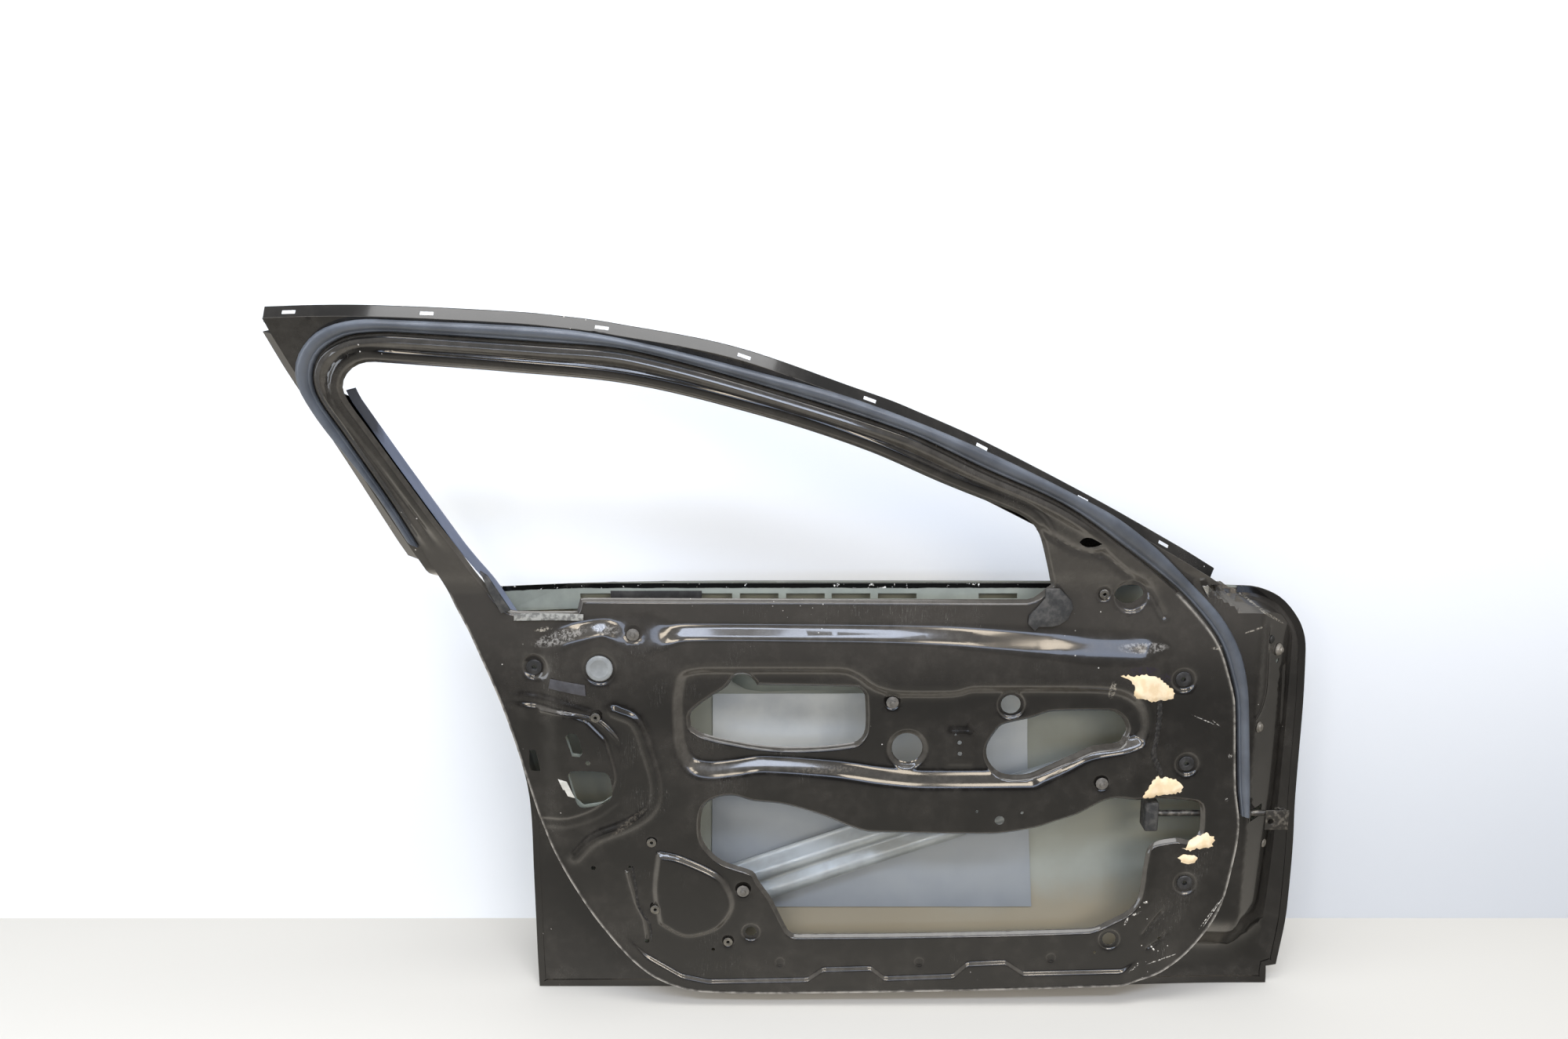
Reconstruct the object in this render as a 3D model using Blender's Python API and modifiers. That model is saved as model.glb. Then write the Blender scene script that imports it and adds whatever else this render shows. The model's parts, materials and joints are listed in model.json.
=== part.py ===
"""Front left car door shell, seen from inside in its photograph: steel inner panel with window
frame, outer skin, stiffeners, seal, door check and the small fittings left on a stripped door.

All layout sizes are millimetres: x runs towards the hinge side, y outboard, z up from the lower hem.
The finished model is in metres, with its origin on the upper hinge pad.
"""
import math

import bmesh
import bpy
import numpy as np
from mathutils import Matrix, Vector
from mathutils.bvhtree import BVHTree
from mathutils.geometry import delaunay_2d_cdt

MM = 0.001

# Sheet metal and seats
PANEL_GAUGE = 1.2
SKIN_GAUGE = 0.9
PLATE_GAUGE = 1.5
SEAT_GAP = 0.5
HEM_RETURN = 9.0
FLANGE_WIDTH = 10.0
FLANGE_GAP = 1.0

# Outer skin
HEM_DEPTH = 50.0
HEM_DEPTH_FRONT = 10.0
SKIN_CROWN = 60.0
CROWN_HEIGHT = 380.0
BELT_HEIGHT = 632.0
CROWN_LOSS_AT_BELT = 16.0

# Window frame
FRAME_START = 640.0
FRAME_LEAN = 0.36
SEAL_SEAT = 8.0
SEAL_THICKNESS = 13.0
SEAL_CROWN = 3.0
GLASS_CHANNEL_DEPTH = 43.0

# Pressed forms of the inner panel, positive outboard
UPPER_STEP = -12.0
RING_DEPTH = 13.0
RING_EDGE = 22.0
LATCH_FIELD = -5.0
CORNER_BOSS = -7.0
SILL_STEP = -4.5
LIP_DEPTH = 7.0
LIP_WIDTH = 5.0
STEEP_WALL = 8.0
STEEP_WALL_REAR = 5.0
HINGE_WALL_START = 676.0
HINGE_WALL_SLOPE = 1.0
HINGE_WALL_DEPTH = 10.0

# Upper hinge pad, the reference point of the part
HINGE_PAD = (706.0, 500.0)

# Door check
CHECK_Y = 28.0
CHECK_Z = 296.0
CHECK_ROD_R = 4.5
CHECK_PIN_X = 730.0
CHECK_PIN_R = 2.6
CHECK_EYE_R = 7.0
CHECK_EYE_HEIGHT = 9.0
CHECK_CLEARANCE = 0.4
CHECK_STOP_X = 528.0
CHECK_STOP_DEPTH = 20.0
CHECK_STOP_SIZE = (30.0, 46.0)
CHECK_ARM_SEAT = 10.0
CHECK_BRACKET_REACH = 8.0
CHECK_HOUSING = (625.0, 667.0, 9.7, 45.0, 278.0, 314.0)

# Window frame sheets
FRAME_GAUGE = 1.2
ROOF_FLANGE_DEPTH = 26.0
ROOF_FLANGE_HEIGHT = 12.0
FRAME_DEPTH = 40.0
FRAME_FACE = 66.0
PILLAR_STRIP_DEPTH = 43.0
CLIP_SLOT = (17.0, 60.0, 4.0)
CLIP_SLOTS = (-610, -440, -225, -48, 112, 262, 404, 524)

# Belt line
BELT_REAR = -420.0
BELT_FRONT = 392.0
BELT_OUTER_DEPTH = 70.0
BELT_OUTER_DROP = 35.0
BELT_OUTER_FOOT = BELT_HEIGHT - BELT_OUTER_DROP
BELT_SLOT = (56.0, 20.0, 8.0)
BELT_SLOT_DROP = 16.0
BELT_SLOT_HEIGHT = BELT_HEIGHT - BELT_SLOT_DROP
BELT_SLOTS = (-267, -103, -36, 31, 97, 164, 310)

# Impact beam and plates
BEAM_REAR = (-200.0, 110.0)
BEAM_FRONT = (622.0, 381.0)
BEAM_WIDTH = 70.0
BEAM_GAUGE = 2.0
BEAM_SEAT = 12.0
BEAM_CROWN = 22.0
DAMPING_GAUGE = 1.8
HANDLE_PLATE_RISE = 7.0
HINGE_PLATE_GAUGE = 2.0

# Size of the skin's flat facets
SKIN_MESH = 56.0

SKIN_OUTLINE = [
    (-375, 0), (-377, 60), (-379, 180), (-380, 281), (-388, 347), (-418, 477), (-459, 577),
    (-484, BELT_HEIGHT - 2), (-425, BELT_HEIGHT + 1), (397, BELT_HEIGHT), (560, BELT_HEIGHT - 2),
    (662, BELT_HEIGHT - 6), (692, BELT_HEIGHT - 8), (723, BELT_HEIGHT - 21),
    (745, BELT_HEIGHT - 44), (759, BELT_HEIGHT - 70), (765, BELT_HEIGHT - 100), (769, 440), (770, 300),
    (772, 221), (771, 152), (768, 96), (758, 29), (743, 26), (743, 0)]

FACE_EDGE = [
    (-462, 629), (-439, 577), (-402, 477), (-372, 374), (-348, 287), (-333, 248), (-297, 177),
    (-268, 129), (-232, 82), (-193, 49), (-153, 31), (-113, 24), (0, 22), (282, 27), (470, 33),
    (516, 36), (562, 52), (606, 93), (642, 155), (657, 231), (661, 290), (651, 354), (641, 474),
    (632, 510), (612, 563), (581, 605), (539, 648), (466, 707), (373, 773), (261, 826),
    (152, 879), (-31, 941), (-187, 985), (-292, 996), (-476, 1009), (-526, 1007), (-553, 999),
    (-577, 982), (-590, 955), (-587, 924), (-567, 881), (-516, 768)]

PANEL_LEFT = [
    (-372, 3), (-374, 60), (-376, 180), (-377, 281), (-385, 347), (-415, 477), (-456, 577),
    (-481, 630), (-484, 650), (-515, 719), (-565, 836), (-613, 955), (-634, 1010)]
PANEL_RIGHT = [
    (650, 624), (690, 620), (720, 607), (742, 585), (756, 560), (762, 530), (766, 440), (767, 300),
    (769, 221), (768, 152), (765, 98), (755, 32), (740, 29), (740, 3)]

SEAL_OUTER = [
    (676, 304), (673, 351), (662, 471), (655, 516), (640, 561), (611, 608), (566, 655), (503, 715),
    (428, 769), (259, 856), (100, 922), (-31, 961), (-180, 1000), (-290, 1018), (-501, 1029),
    (-540, 1026), (-574, 1014), (-600, 990), (-613, 962), (-611, 932), (-592, 886), (-546, 803),
    (-512, 724)]
SEAL_INNER = [
    (664, 304), (656, 354), (645, 474), (636, 512), (616, 566), (585, 609), (543, 652), (468, 711),
    (375, 777), (263, 830), (153, 883), (-30, 945), (-186, 989), (-292, 1000), (-476, 1013),
    (-528, 1011), (-555, 1002), (-580, 984), (-594, 955), (-591, 922), (-571, 879), (-520, 766),
    (-499, 712)]

WINDOW_OPENING = [
    (-395, 624), (-372, 613), (-290, 613), (-285, 632), (340, 630), (372, 652), (358, 699),
    (345, 734), (329, 754), (303, 769), (209, 809), (102, 858), (-31, 904), (-189, 945),
    (-344, 962), (-510, 975), (-530, 972), (-547, 960), (-556, 942), (-552, 922), (-534, 886),
    (-426, 672)]

UPPER_STEP_TOP = [
    (-357, 560), (-338, 582), (-305, 597), (-279, 601), (-214, 605), (-186, 605), (-159, 595),
    (219, 592), (362, 586), (461, 581), (520, 578), (544, 566)]
UPPER_STEP_FOOT = [
    (-357, 554), (-316, 562), (-281, 575), (-254, 583), (-242, 577), (-220, 560), (-199, 550),
    (-173, 562), (-136, 576), (0, 576), (197, 571), (362, 553), (440, 542), (495, 542),
    (527, 550), (544, 562)]

RING = [
    (-146, 533), (-111, 540), (81, 540), (110, 530), (135, 512), (167, 505), (238, 505),
    (268, 512), (421, 512), (477, 507), (512, 486), (526, 450), (518, 415), (487, 403),
    (442, 393), (411, 374), (379, 357), (358, 348), (204, 347), (136, 353), (68, 364), (-28, 372),
    (-68, 366), (-107, 362), (-140, 372), (-158, 403), (-162, 474), (-157, 515)]

UPPER_LEFT_OPENING = [
    (-82, 500), (-70, 516), (-58, 519), (-46, 514), (-38, 503), (105, 500), (115, 488), (116, 436),
    (100, 416), (32, 409), (-27, 411), (-84, 421), (-116, 430), (-133, 441), (-132, 462),
    (-106, 484)]
UPPER_RIGHT_OPENING = [
    (292, 411), (308, 439), (323, 446), (353, 453), (384, 463), (464, 464), (482, 455), (490, 439),
    (487, 427), (478, 417), (441, 411), (409, 396), (374, 379), (349, 369), (314, 370), (295, 387)]
LOWER_OPENING = [
    (-121, 296), (-115, 323), (-97, 336), (-72, 339), (-45, 331), (1, 325), (57, 307), (98, 289),
    (129, 281), (297, 278), (360, 287), (395, 299), (425, 310), (457, 329), (478, 335),
    (507, 332), (569, 328), (598, 324), (605, 315), (606, 278), (593, 263), (573, 267),
    (541, 261), (531, 251), (527, 223), (524, 184), (514, 159), (489, 141), (448, 123), (209, 116),
    (19, 114), (5, 122), (-18, 172), (-37, 202), (-46, 218), (-83, 232), (-102, 245), (-118, 268)]
LATCH_OPENING = [
    (-308, 374), (-301, 382), (-256, 380), (-247, 366), (-247, 340), (-261, 330), (-289, 325),
    (-298, 334)]
LATCH_SLOT = [(-310, 434), (-303, 440), (-293, 436), (-286, 410), (-291, 403), (-301, 404)]
LATCH_EDGE_WINDOW = [(-364, 409), (-355, 409), (-349, 377), (-366, 377)]
CHECK_ARM_HOLE = [(683, 287), (683, 305), (708, 305), (708, 287)]

LATCH_FIELD_EDGE = [
    (-420, 500), (-366, 497), (-303, 490), (-262, 484), (-227, 438), (-222, 373), (-238, 330),
    (-273, 305), (-321, 293), (-420, 290)]
SOFT_RIDGE = [
    (-241, 470), (-210, 453), (-193, 403), (-183, 354), (-193, 318), (-228, 293), (-274, 273),
    (-304, 243)]
CORNER_BOSS_EDGE = [
    (-183, 251), (-150, 243), (-98, 216), (-80, 190), (-76, 161), (-96, 130), (-125, 117),
    (-151, 116), (-183, 136), (-190, 190)]
SILL_LINE = [
    (-239, 122), (-205, 86), (-152, 52), (-113, 43), (35, 46), (58, 63), (129, 65), (150, 48),
    (252, 52), (272, 72), (329, 75), (356, 56), (503, 60), (530, 79)]

ROUND_HOLE = (177, 408)
ROUND_HOLE_R = 22.0
ROUND_RIM_R = 32.0
ROUND_RIM_DEPTH = 6.0
EMBOSS = (230, 275, 380, 441)

GROMMETS = [(-352, 533), (566, 513), (579, 385), (589, 197)]
GROMMET_R = 8.0
RIVET_NUTS = [(-266, 463), (-192, 268), (-189, 161), (-83, 105), (446, 640)]
RIVET_NUT_R = 4.5
PLUG_PLACE = (-259, 534)
PLUG_R = 19.0
OPEN_HOLES = [
    (-49, 120, 8.0), (482, 108, 10.0), (311, 303, 7.0), (323, 475, 14.0), (-278, 226, 3.5),
    (-203, 106, 3.5), (-279, 394, 3.5), (484, 637, 16.0)]
CLIP_NUTS = [(154, 480), (455, 361), (-60, 190), (-211, 583)]
CLIP_NUT_R = 9.0
GROMMET_BORE = 3.5

TOP_EDGE = [
    (-641, 1042), (-579, 1044), (-515, 1044), (-431, 1040), (-339, 1037), (-292, 1031), (-216, 1024),
    (-62, 991), (98, 934), (153, 913), (262, 863), (416, 781), (544, 707), (600, 672)]
PILLAR_EDGE = [(-503, 692), (-515, 719), (-565, 836), (-613, 955), (-634, 1010)]
PILLAR_STRIP = [(-521, 694), (-533, 721), (-580, 838), (-629, 955), (-650, 1012)]
CHANNEL_LINE = [
    (-381, 602), (-404, 640), (-418, 664), (-434, 690), (-447, 713), (-505, 829), (-549, 920),
    (-554, 936)]

BELT_TAPE = [
    (-251, BELT_SLOT_HEIGHT - 4), (-119, BELT_SLOT_HEIGHT - 4),
    (-119, BELT_SLOT_HEIGHT + 8), (-251, BELT_SLOT_HEIGHT + 8)]
FRONT_BELT_PAD = [
    (363, 649), (383, 649), (400, 631), (403, 620), (396, 604), (385, 596), (374, 593), (356, 593),
    (351, 587), (341, 597), (342, 609), (355, 623), (363, 634)]
REAR_BELT_PAD = [(-421, 674), (-411, 667), (-381, 617), (-394, 613), (-409, 643)]
ADHESIVE_STRIP = [(-377, 612), (-280, 611), (-280, 602), (-328, 603), (-377, 602)]
DAMPING_SHEET = [(-107, 453), (366, 453), (381, 116), (-112, 116)]
HANDLE_PLATE = [(-78, 473), (-57, 460), (-30, 456), (33, 458), (114, 458), (128, 560), (-95, 560)]
LATCH_PLATE = [
    (-335, 318), (-275, 318), (-247, 336), (-238, 372), (-250, 430), (-275, 450), (-335, 450)]
FELT_PATCHES = [
    [(474, 523), (492, 523), (509, 525), (525, 521), (537, 511), (547, 503), (554, 493), (552, 486),
     (538, 483), (517, 483), (510, 488), (497, 488), (492, 500), (495, 507), (485, 517)],
    [(515, 338), (523, 350), (535, 367), (552, 366), (560, 361), (573, 356), (574, 343), (560, 339),
     (531, 335)],
    [(582, 254), (594, 263), (607, 273), (615, 278), (628, 270), (626, 257), (612, 254), (593, 250)],
    [(578, 238), (583, 244), (596, 244), (605, 239), (600, 232), (591, 228), (581, 232)]]
TAPE_PATCH = [(-332, 504), (-279, 494), (-280, 510), (-329, 518)]
BLANK_LABEL = [(-323, 369), (-310, 366), (-299, 341), (-312, 344)]
FRAME_CLIP = [(582, 651), (591, 651), (605, 637), (603, 631), (593, 633)]

PAINT =(0.022, 0.021, 0.019)
PRIMER = (0.34, 0.36, 0.34)
STEEL = (0.42, 0.43, 0.45)
RUBBER = (0.055, 0.062, 0.072)


def clear_scene():
    for thing in list(bpy.data.objects):
        bpy.data.objects.remove(thing, do_unlink=True)


def smooth(t):
    t = np.clip(t, 0.0, 1.0)
    return t * t * (3.0 - 2.0 * t)


def segments(points, closed):
    line = np.array(points, dtype=float)
    ends = np.roll(line, -1, axis=0) if closed else line[1:]
    starts = line if closed else line[:-1]
    return starts, ends


def distance(x, z, points, closed=True):
    """Shortest distance from each (x, z) to a polyline."""
    starts, ends = segments(points, closed)
    best = np.full(x.shape, 1e9)
    for (ax, az), (bx, bz) in zip(starts, ends):
        dx, dz = bx - ax, bz - az
        t = np.clip(((x - ax) * dx + (z - az) * dz) / (dx * dx + dz * dz), 0.0, 1.0)
        best = np.minimum(best, np.hypot(x - ax - t * dx, z - az - t * dz))
    return best


def inside(x, z, points):
    """True where (x, z) lies inside a closed polygon."""
    starts, ends = segments(points, True)
    within = np.zeros(x.shape, dtype=bool)
    for (ax, az), (bx, bz) in zip(starts, ends):
        if az == bz:
            continue
        crosses = (az > z) != (bz > z)
        within ^= crosses & (x < ax + (z - az) * (bx - ax) / (bz - az))
    return within


def depth_inside(x, z, points):
    """Distance to the polygon's edge, positive inside and negative outside."""
    gap = distance(x, z, points)
    return np.where(inside(x, z, points), gap, -gap)


def skin_y(x, z):
    """Inner surface of the outer skin: a barrel that flattens towards both ends."""
    below = 1.0 - ((z - CROWN_HEIGHT) / CROWN_HEIGHT) ** 2
    span = BELT_HEIGHT - CROWN_HEIGHT
    above = 1.0 - CROWN_LOSS_AT_BELT / SKIN_CROWN * ((z - CROWN_HEIGHT) / span) ** 2
    crown = SKIN_CROWN * np.where(z < CROWN_HEIGHT, below, above)
    ends = 1.0 - 0.72 * np.clip(np.abs((x - 190.0) / 590.0), 0.0, 1.0) ** 4
    return HEM_DEPTH + HEM_DEPTH_FRONT * smooth((x - 400.0) / 300.0) + crown * ends


def frame_base(z):
    """The window frame leans inboard above the belt."""
    rise = np.maximum(z - FRAME_START, 0.0)
    return -FRAME_LEAN * rise * smooth(rise / 60.0 + 0.4)


def face_y(x, z):
    """Pressed forms of the trim face, without its outer wall."""
    top = np.interp(x, *zip(*UPPER_STEP_TOP))
    foot = np.interp(x, *zip(*UPPER_STEP_FOOT))
    ends = np.interp(x, [-357, -315, 470, 544], [0.0, 1.0, 1.0, 0.0])
    fade = np.interp(z, [120.0, 330.0], [0.3, 1.0])
    y = UPPER_STEP * ends * fade * np.clip((top - z) / (top - foot), 0.0, 1.0)
    y = y + RING_DEPTH * smooth(depth_inside(x, z, RING) / RING_EDGE)
    y = y + LATCH_FIELD * smooth(depth_inside(x, z, LATCH_FIELD_EDGE) / 12.0 + 0.3)
    y = y - 5.0 * smooth(1.0 - distance(x, z, SOFT_RIDGE, False) / 14.0)
    y = y + CORNER_BOSS * smooth(depth_inside(x, z, CORNER_BOSS_EDGE) / 12.0 + 0.4)
    sill = np.interp(x, *zip(*SILL_LINE))
    sill_ends = np.interp(x, [-239, -200, 500, 530], [0.0, 1.0, 1.0, 0.0])
    y = y + SILL_STEP * sill_ends * np.clip((sill - z) / 5.0, 0.0, 1.0)
    rim = np.hypot(x - ROUND_HOLE[0], z - ROUND_HOLE[1])
    y = y + ROUND_RIM_DEPTH * smooth((ROUND_RIM_R - rim) / (ROUND_RIM_R - ROUND_HOLE_R))
    for gx, gz in GROMMETS:
        y = y + 3.5 * smooth((20.0 - np.hypot(x - gx, z - gz)) / 6.0)
    y = y + 2.0 * smooth((26.0 - np.hypot(x - PLUG_PLACE[0], z - PLUG_PLACE[1])) / 5.0)
    for opening in (UPPER_LEFT_OPENING, UPPER_RIGHT_OPENING, LOWER_OPENING, WINDOW_OPENING):
        y = y + LIP_DEPTH * smooth(1.0 - distance(x, z, opening) / LIP_WIDTH)
    return y + frame_base(z)


def steep_wall_width(x, z):
    """How far the wall round the face spreads before it meets the flange."""
    return np.where(x > 0, STEEP_WALL, np.interp(z, [300.0, 420.0], [STEEP_WALL, STEEP_WALL_REAR]))


def wall_foot_lines():
    """Lines where the steep wall and the oblique hinge wall meet the flange."""
    low = [p for p in FACE_EDGE[:17]]
    widths = steep_wall_width(*np.array(low, dtype=float).T)
    outer = [offset_line(low, False, -w)[i] for i, w in enumerate(widths)]
    heights = np.linspace(70.0, 590.0, 14)
    edge = np.full(heights.shape, HINGE_WALL_START)
    for _ in range(8):
        flange = skin_y(edge, heights) - PANEL_GAUGE - FLANGE_GAP
        edge = HINGE_WALL_START + (flange - HINGE_WALL_DEPTH) / HINGE_WALL_SLOPE
    start = [(HINGE_WALL_START, z) for z in heights[1:-1]]
    first = len(PANEL_LEFT + PANEL_TOP) - 1
    rim = PANEL_OUTLINE[first:] + PANEL_OUTLINE[:8]
    rims = [offset_line(rim, False, -gap)[1:-1] for gap in (FLANGE_WIDTH, FLANGE_WIDTH + 4.0)]
    return [outer, list(zip(edge, heights))[:-1], start] + rims


def panel_y(x, z):
    """Inboard surface of the inner panel over its whole outline."""
    x = np.asarray(x, dtype=float)
    z = np.asarray(z, dtype=float)
    out = np.maximum(-depth_inside(x, z, FACE_EDGE), 0.0)
    flange = skin_y(x, z) - PANEL_GAUGE - FLANGE_GAP
    seat = SEAL_SEAT * smooth(out / 3.0)
    frame = frame_base(z) + seat
    wall_width = steep_wall_width(x, z)
    steep = flange * np.clip(out / wall_width, 0.0, 1.0)
    wall = HINGE_WALL_DEPTH + HINGE_WALL_SLOPE * (x - HINGE_WALL_START)
    oblique = np.minimum(np.maximum(seat, wall), flange)
    front = smooth((x - 560.0) / 70.0) * smooth((z - 30.0) / 110.0)
    front = np.maximum(front, smooth((x - 470.0) / 50.0) * smooth((z - 430.0) / 70.0))
    low = steep * (1.0 - front) + oblique * front
    rim = depth_inside(x, z, PANEL_OUTLINE)
    near_rim = np.clip((FLANGE_WIDTH + 4.0 - rim) / 4.0, 0.0, 1.0) * smooth((652.0 - z) / 22.0)
    low = low + (flange - low) * near_rim
    up = smooth((z - 640.0) / 34.0)
    outer = low * (1.0 - up) + frame * up
    return np.where(out > 0.0, outer, face_y(x, z))


def divided(points, closed, step):
    """The polyline with its long stretches divided evenly."""
    starts, ends = segments(points, closed)
    made = []
    for a, b in zip(starts, ends):
        count = max(1, int(round(np.hypot(*(b - a)) / step)))
        for i in range(count):
            made.append(tuple(a + (b - a) * i / count))
    if not closed:
        made.append(tuple(np.array(points[-1], dtype=float)))
    return made


def offset_line(points, closed, gap):
    """The polyline moved sideways, to its left for a positive gap."""
    line = [Vector((p[0], p[1])) for p in points]
    count = len(line)
    moved = []
    for i, here in enumerate(line):
        before = line[i - 1] if closed or i > 0 else here
        after = line[(i + 1) % count] if closed or i < count - 1 else here
        along = (after - before).normalized()
        moved.append((here.x - along.y * gap, here.y + along.x * gap))
    return moved


PANEL_TOP = offset_line(TOP_EDGE, False, -ROOF_FLANGE_HEIGHT)
PANEL_OUTLINE = PANEL_LEFT + PANEL_TOP + PANEL_RIGHT


def circle(cx, cz, radius, count=12):
    turn = 2.0 * math.pi / count
    return [(cx + radius * math.cos(i * turn), cz + radius * math.sin(i * turn)) for i in range(count)]


def without_slivers(flat, tris):
    """Leave out flat slivers that lie along a straight stretch of the outline."""
    corners = flat[tris]
    sides = np.linalg.norm(corners - np.roll(corners, -1, axis=1), axis=2)
    a, b = corners[:, 1] - corners[:, 0], corners[:, 2] - corners[:, 0]
    height = np.abs(a[:, 0] * b[:, 1] - a[:, 1] * b[:, 0]) / sides.max(axis=1)
    used = {}
    for order in tris:
        for i in range(3):
            edge = frozenset((order[i], order[(i + 1) % 3]))
            used[edge] = used.get(edge, 0) + 1
    keep = []
    for order, side, rise in zip(tris, sides, height):
        i = int(side.argmax())
        longest = frozenset((order[i], order[(i + 1) % 3]))
        keep.append(rise > 0.05 or used[longest] > 1)
    return tris[np.array(keep)]


def triangulated(outline, holes, lines, spacing, edge_step):
    """Flat triangles inside the outline and outside the holes, with every line as mesh edges."""
    points, edges = [], []

    def add(line, closed):
        first = len(points)
        points.extend(line)
        count = len(line)
        last = count if closed else count - 1
        edges.extend((first + i, first + (i + 1) % count) for i in range(last))

    add(divided(outline, True, edge_step), True)
    for hole in holes:
        add(divided(hole, True, edge_step), True)
    for line in lines:
        add(divided(line, False, edge_step), False)
    fixed = np.array(points)
    xs = np.arange(fixed[:, 0].min(), fixed[:, 0].max(), spacing)
    zs = np.arange(fixed[:, 1].min(), fixed[:, 1].max(), spacing * 0.87)
    gx, gz = np.meshgrid(xs, zs)
    gx[1::2] += spacing / 2.0
    gx, gz = gx.ravel() + 0.37, gz.ravel() + 0.53
    keep = inside(gx, gz, outline)
    for hole in holes:
        keep &= ~inside(gx, gz, hole)
    gx, gz = gx[keep], gz[keep]
    near = np.array([np.hypot(fixed[:, 0] - a, fixed[:, 1] - b).min() for a, b in zip(gx, gz)])
    points.extend((a, b) for a, b, n in zip(gx, gz, near) if n > spacing * 0.45)
    found, _, faces, *_ = delaunay_2d_cdt([Vector(p) for p in points], edges, [], 0, 1e-5)
    flat = np.array([(v.x, v.y) for v in found])
    tris = np.array([f for f in faces if len(f) == 3])
    mid = flat[tris].mean(axis=1)
    keep = inside(mid[:, 0], mid[:, 1], outline)
    for hole in holes:
        keep &= ~inside(mid[:, 0], mid[:, 1], hole)
    return flat, without_slivers(flat, tris[keep])


def finish_mesh(name, mesh_data, material):
    mesh = bpy.data.meshes.new(name)
    mesh_data.to_mesh(mesh)
    mesh_data.free()
    thing = bpy.data.objects.new(name, mesh)
    mesh.materials.append(material)
    parts.objects.link(thing)
    thing.parent = door_frame
    return thing


def solidify(thing, thickness, offset=-1.0):
    modifier = thing.modifiers.new("gauge", "SOLIDIFY")
    modifier.thickness = thickness * MM
    modifier.offset = offset
    modifier.use_even_offset = True
    modifier.thickness_clamp = 0.0


def pressing(name, outline, holes, lines, height, gauge, material, spacing=40.0, edge_step=30.0):
    """A sheet pressed to height(x, z), open surface first, then its gauge outboard."""
    flat, tris = triangulated(outline, holes, lines, spacing, edge_step)
    y = height(flat[:, 0], flat[:, 1])
    data = bmesh.new()
    used = sorted(set(tris.ravel()))
    verts = {i: data.verts.new((flat[i, 0] * MM, y[i] * MM, flat[i, 1] * MM)) for i in used}
    for a, b, c in tris:
        data.faces.new((verts[a], verts[b], verts[c]))
    thing = finish_mesh(name, data, material)
    solidify(thing, gauge)
    return thing


def pad(name, outline, lines, front, back, material, spacing=60.0, edge_step=30.0, holes=()):
    """A solid pad between a front and a back surface over one outline."""
    flat, tris = triangulated(outline, list(holes), lines, spacing, edge_step)
    used = sorted(set(tris.ravel()))
    data = bmesh.new()
    layers = []
    for surface in (front, back):
        y = surface(flat[:, 0], flat[:, 1])
        layers.append({i: data.verts.new((flat[i, 0] * MM, y[i] * MM, flat[i, 1] * MM)) for i in used})
    sides = {}
    for order in (tuple(corners) for corners in tris):
        data.faces.new([layers[0][i] for i in order])
        data.faces.new([layers[1][i] for i in reversed(order)])
        for i, j in zip(order, order[1:] + order[:1]):
            sides[(i, j)] = (j, i) not in sides
            if (j, i) in sides:
                sides[(j, i)] = False
    for (i, j), rim in sides.items():
        if rim:
            data.faces.new((layers[0][j], layers[0][i], layers[1][i], layers[1][j]))
    return finish_mesh(name, data, material)


def ribbon(name, rails, gauge, material, closed=False):
    """A folded strip: rails are rows of (x, y, z) with the same count, joined in order."""
    data = bmesh.new()
    rows = [[data.verts.new(Vector(p) * MM) for p in rail] for rail in rails]
    for lower, upper in zip(rows, rows[1:]):
        for i in range(len(lower) - 1):
            data.faces.new((lower[i], lower[i + 1], upper[i + 1], upper[i]))
    bmesh.ops.recalc_face_normals(data, faces=data.faces)
    thing = finish_mesh(name, data, material)
    solidify(thing, gauge, 0.0)
    return thing


def turned(name, profile, place, axis, material, steps=20):
    """A turned solid: profile of (radius, height) from its top down the outer side."""
    data = bmesh.new()
    verts = [data.verts.new((r * MM, 0.0, h * MM)) for r, h in profile]
    for a, b in zip(verts, verts[1:]):
        data.edges.new((a, b))
    if profile[0][0] > 0:
        data.edges.new((verts[-1], verts[0]))
    thing = finish_mesh(name, data, material)
    screw = thing.modifiers.new("turn", "SCREW")
    screw.steps = screw.render_steps = steps
    screw.use_merge_vertices = True
    screw.merge_threshold = 0.00001
    thing.matrix_local = placed(place, axis)
    return thing


def placed(place, axis):
    """Matrix that sets local +Z along axis at a place given in millimetres."""
    turn = Vector(axis).to_track_quat("Z", "Y").to_matrix().to_4x4()
    return Matrix.Translation(Vector(place) * MM) @ turn


def block(name, low, high, material, bevel=0.0):
    """A box between two corners, with rounded edges."""
    low, high = Vector(low) * MM, Vector(high) * MM
    data = bmesh.new()
    bmesh.ops.create_cube(data, size=1.0)
    bmesh.ops.scale(data, vec=high - low, verts=data.verts)
    bmesh.ops.translate(data, vec=(low + high) / 2.0, verts=data.verts)
    if bevel:
        bmesh.ops.bevel(data, geom=data.edges, offset=bevel * MM, segments=2, affect="EDGES", profile=0.5)
    return finish_mesh(name, data, material)


def bar(name, centre, size, tilt):
    """A cutter box about a centre, tilted in the plane of the door."""
    data = bmesh.new()
    bmesh.ops.create_cube(data, size=1.0)
    bmesh.ops.scale(data, vec=Vector(size) * MM, verts=data.verts)
    data.transform(Matrix.Translation(Vector(centre) * MM) @ Matrix.Rotation(-tilt, 4, "Y"))
    mesh = bpy.data.meshes.new(name)
    data.to_mesh(mesh)
    data.free()
    thing = bpy.data.objects.new(name, mesh)
    cutters.objects.link(thing)
    thing.parent = door_frame
    return thing


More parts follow.
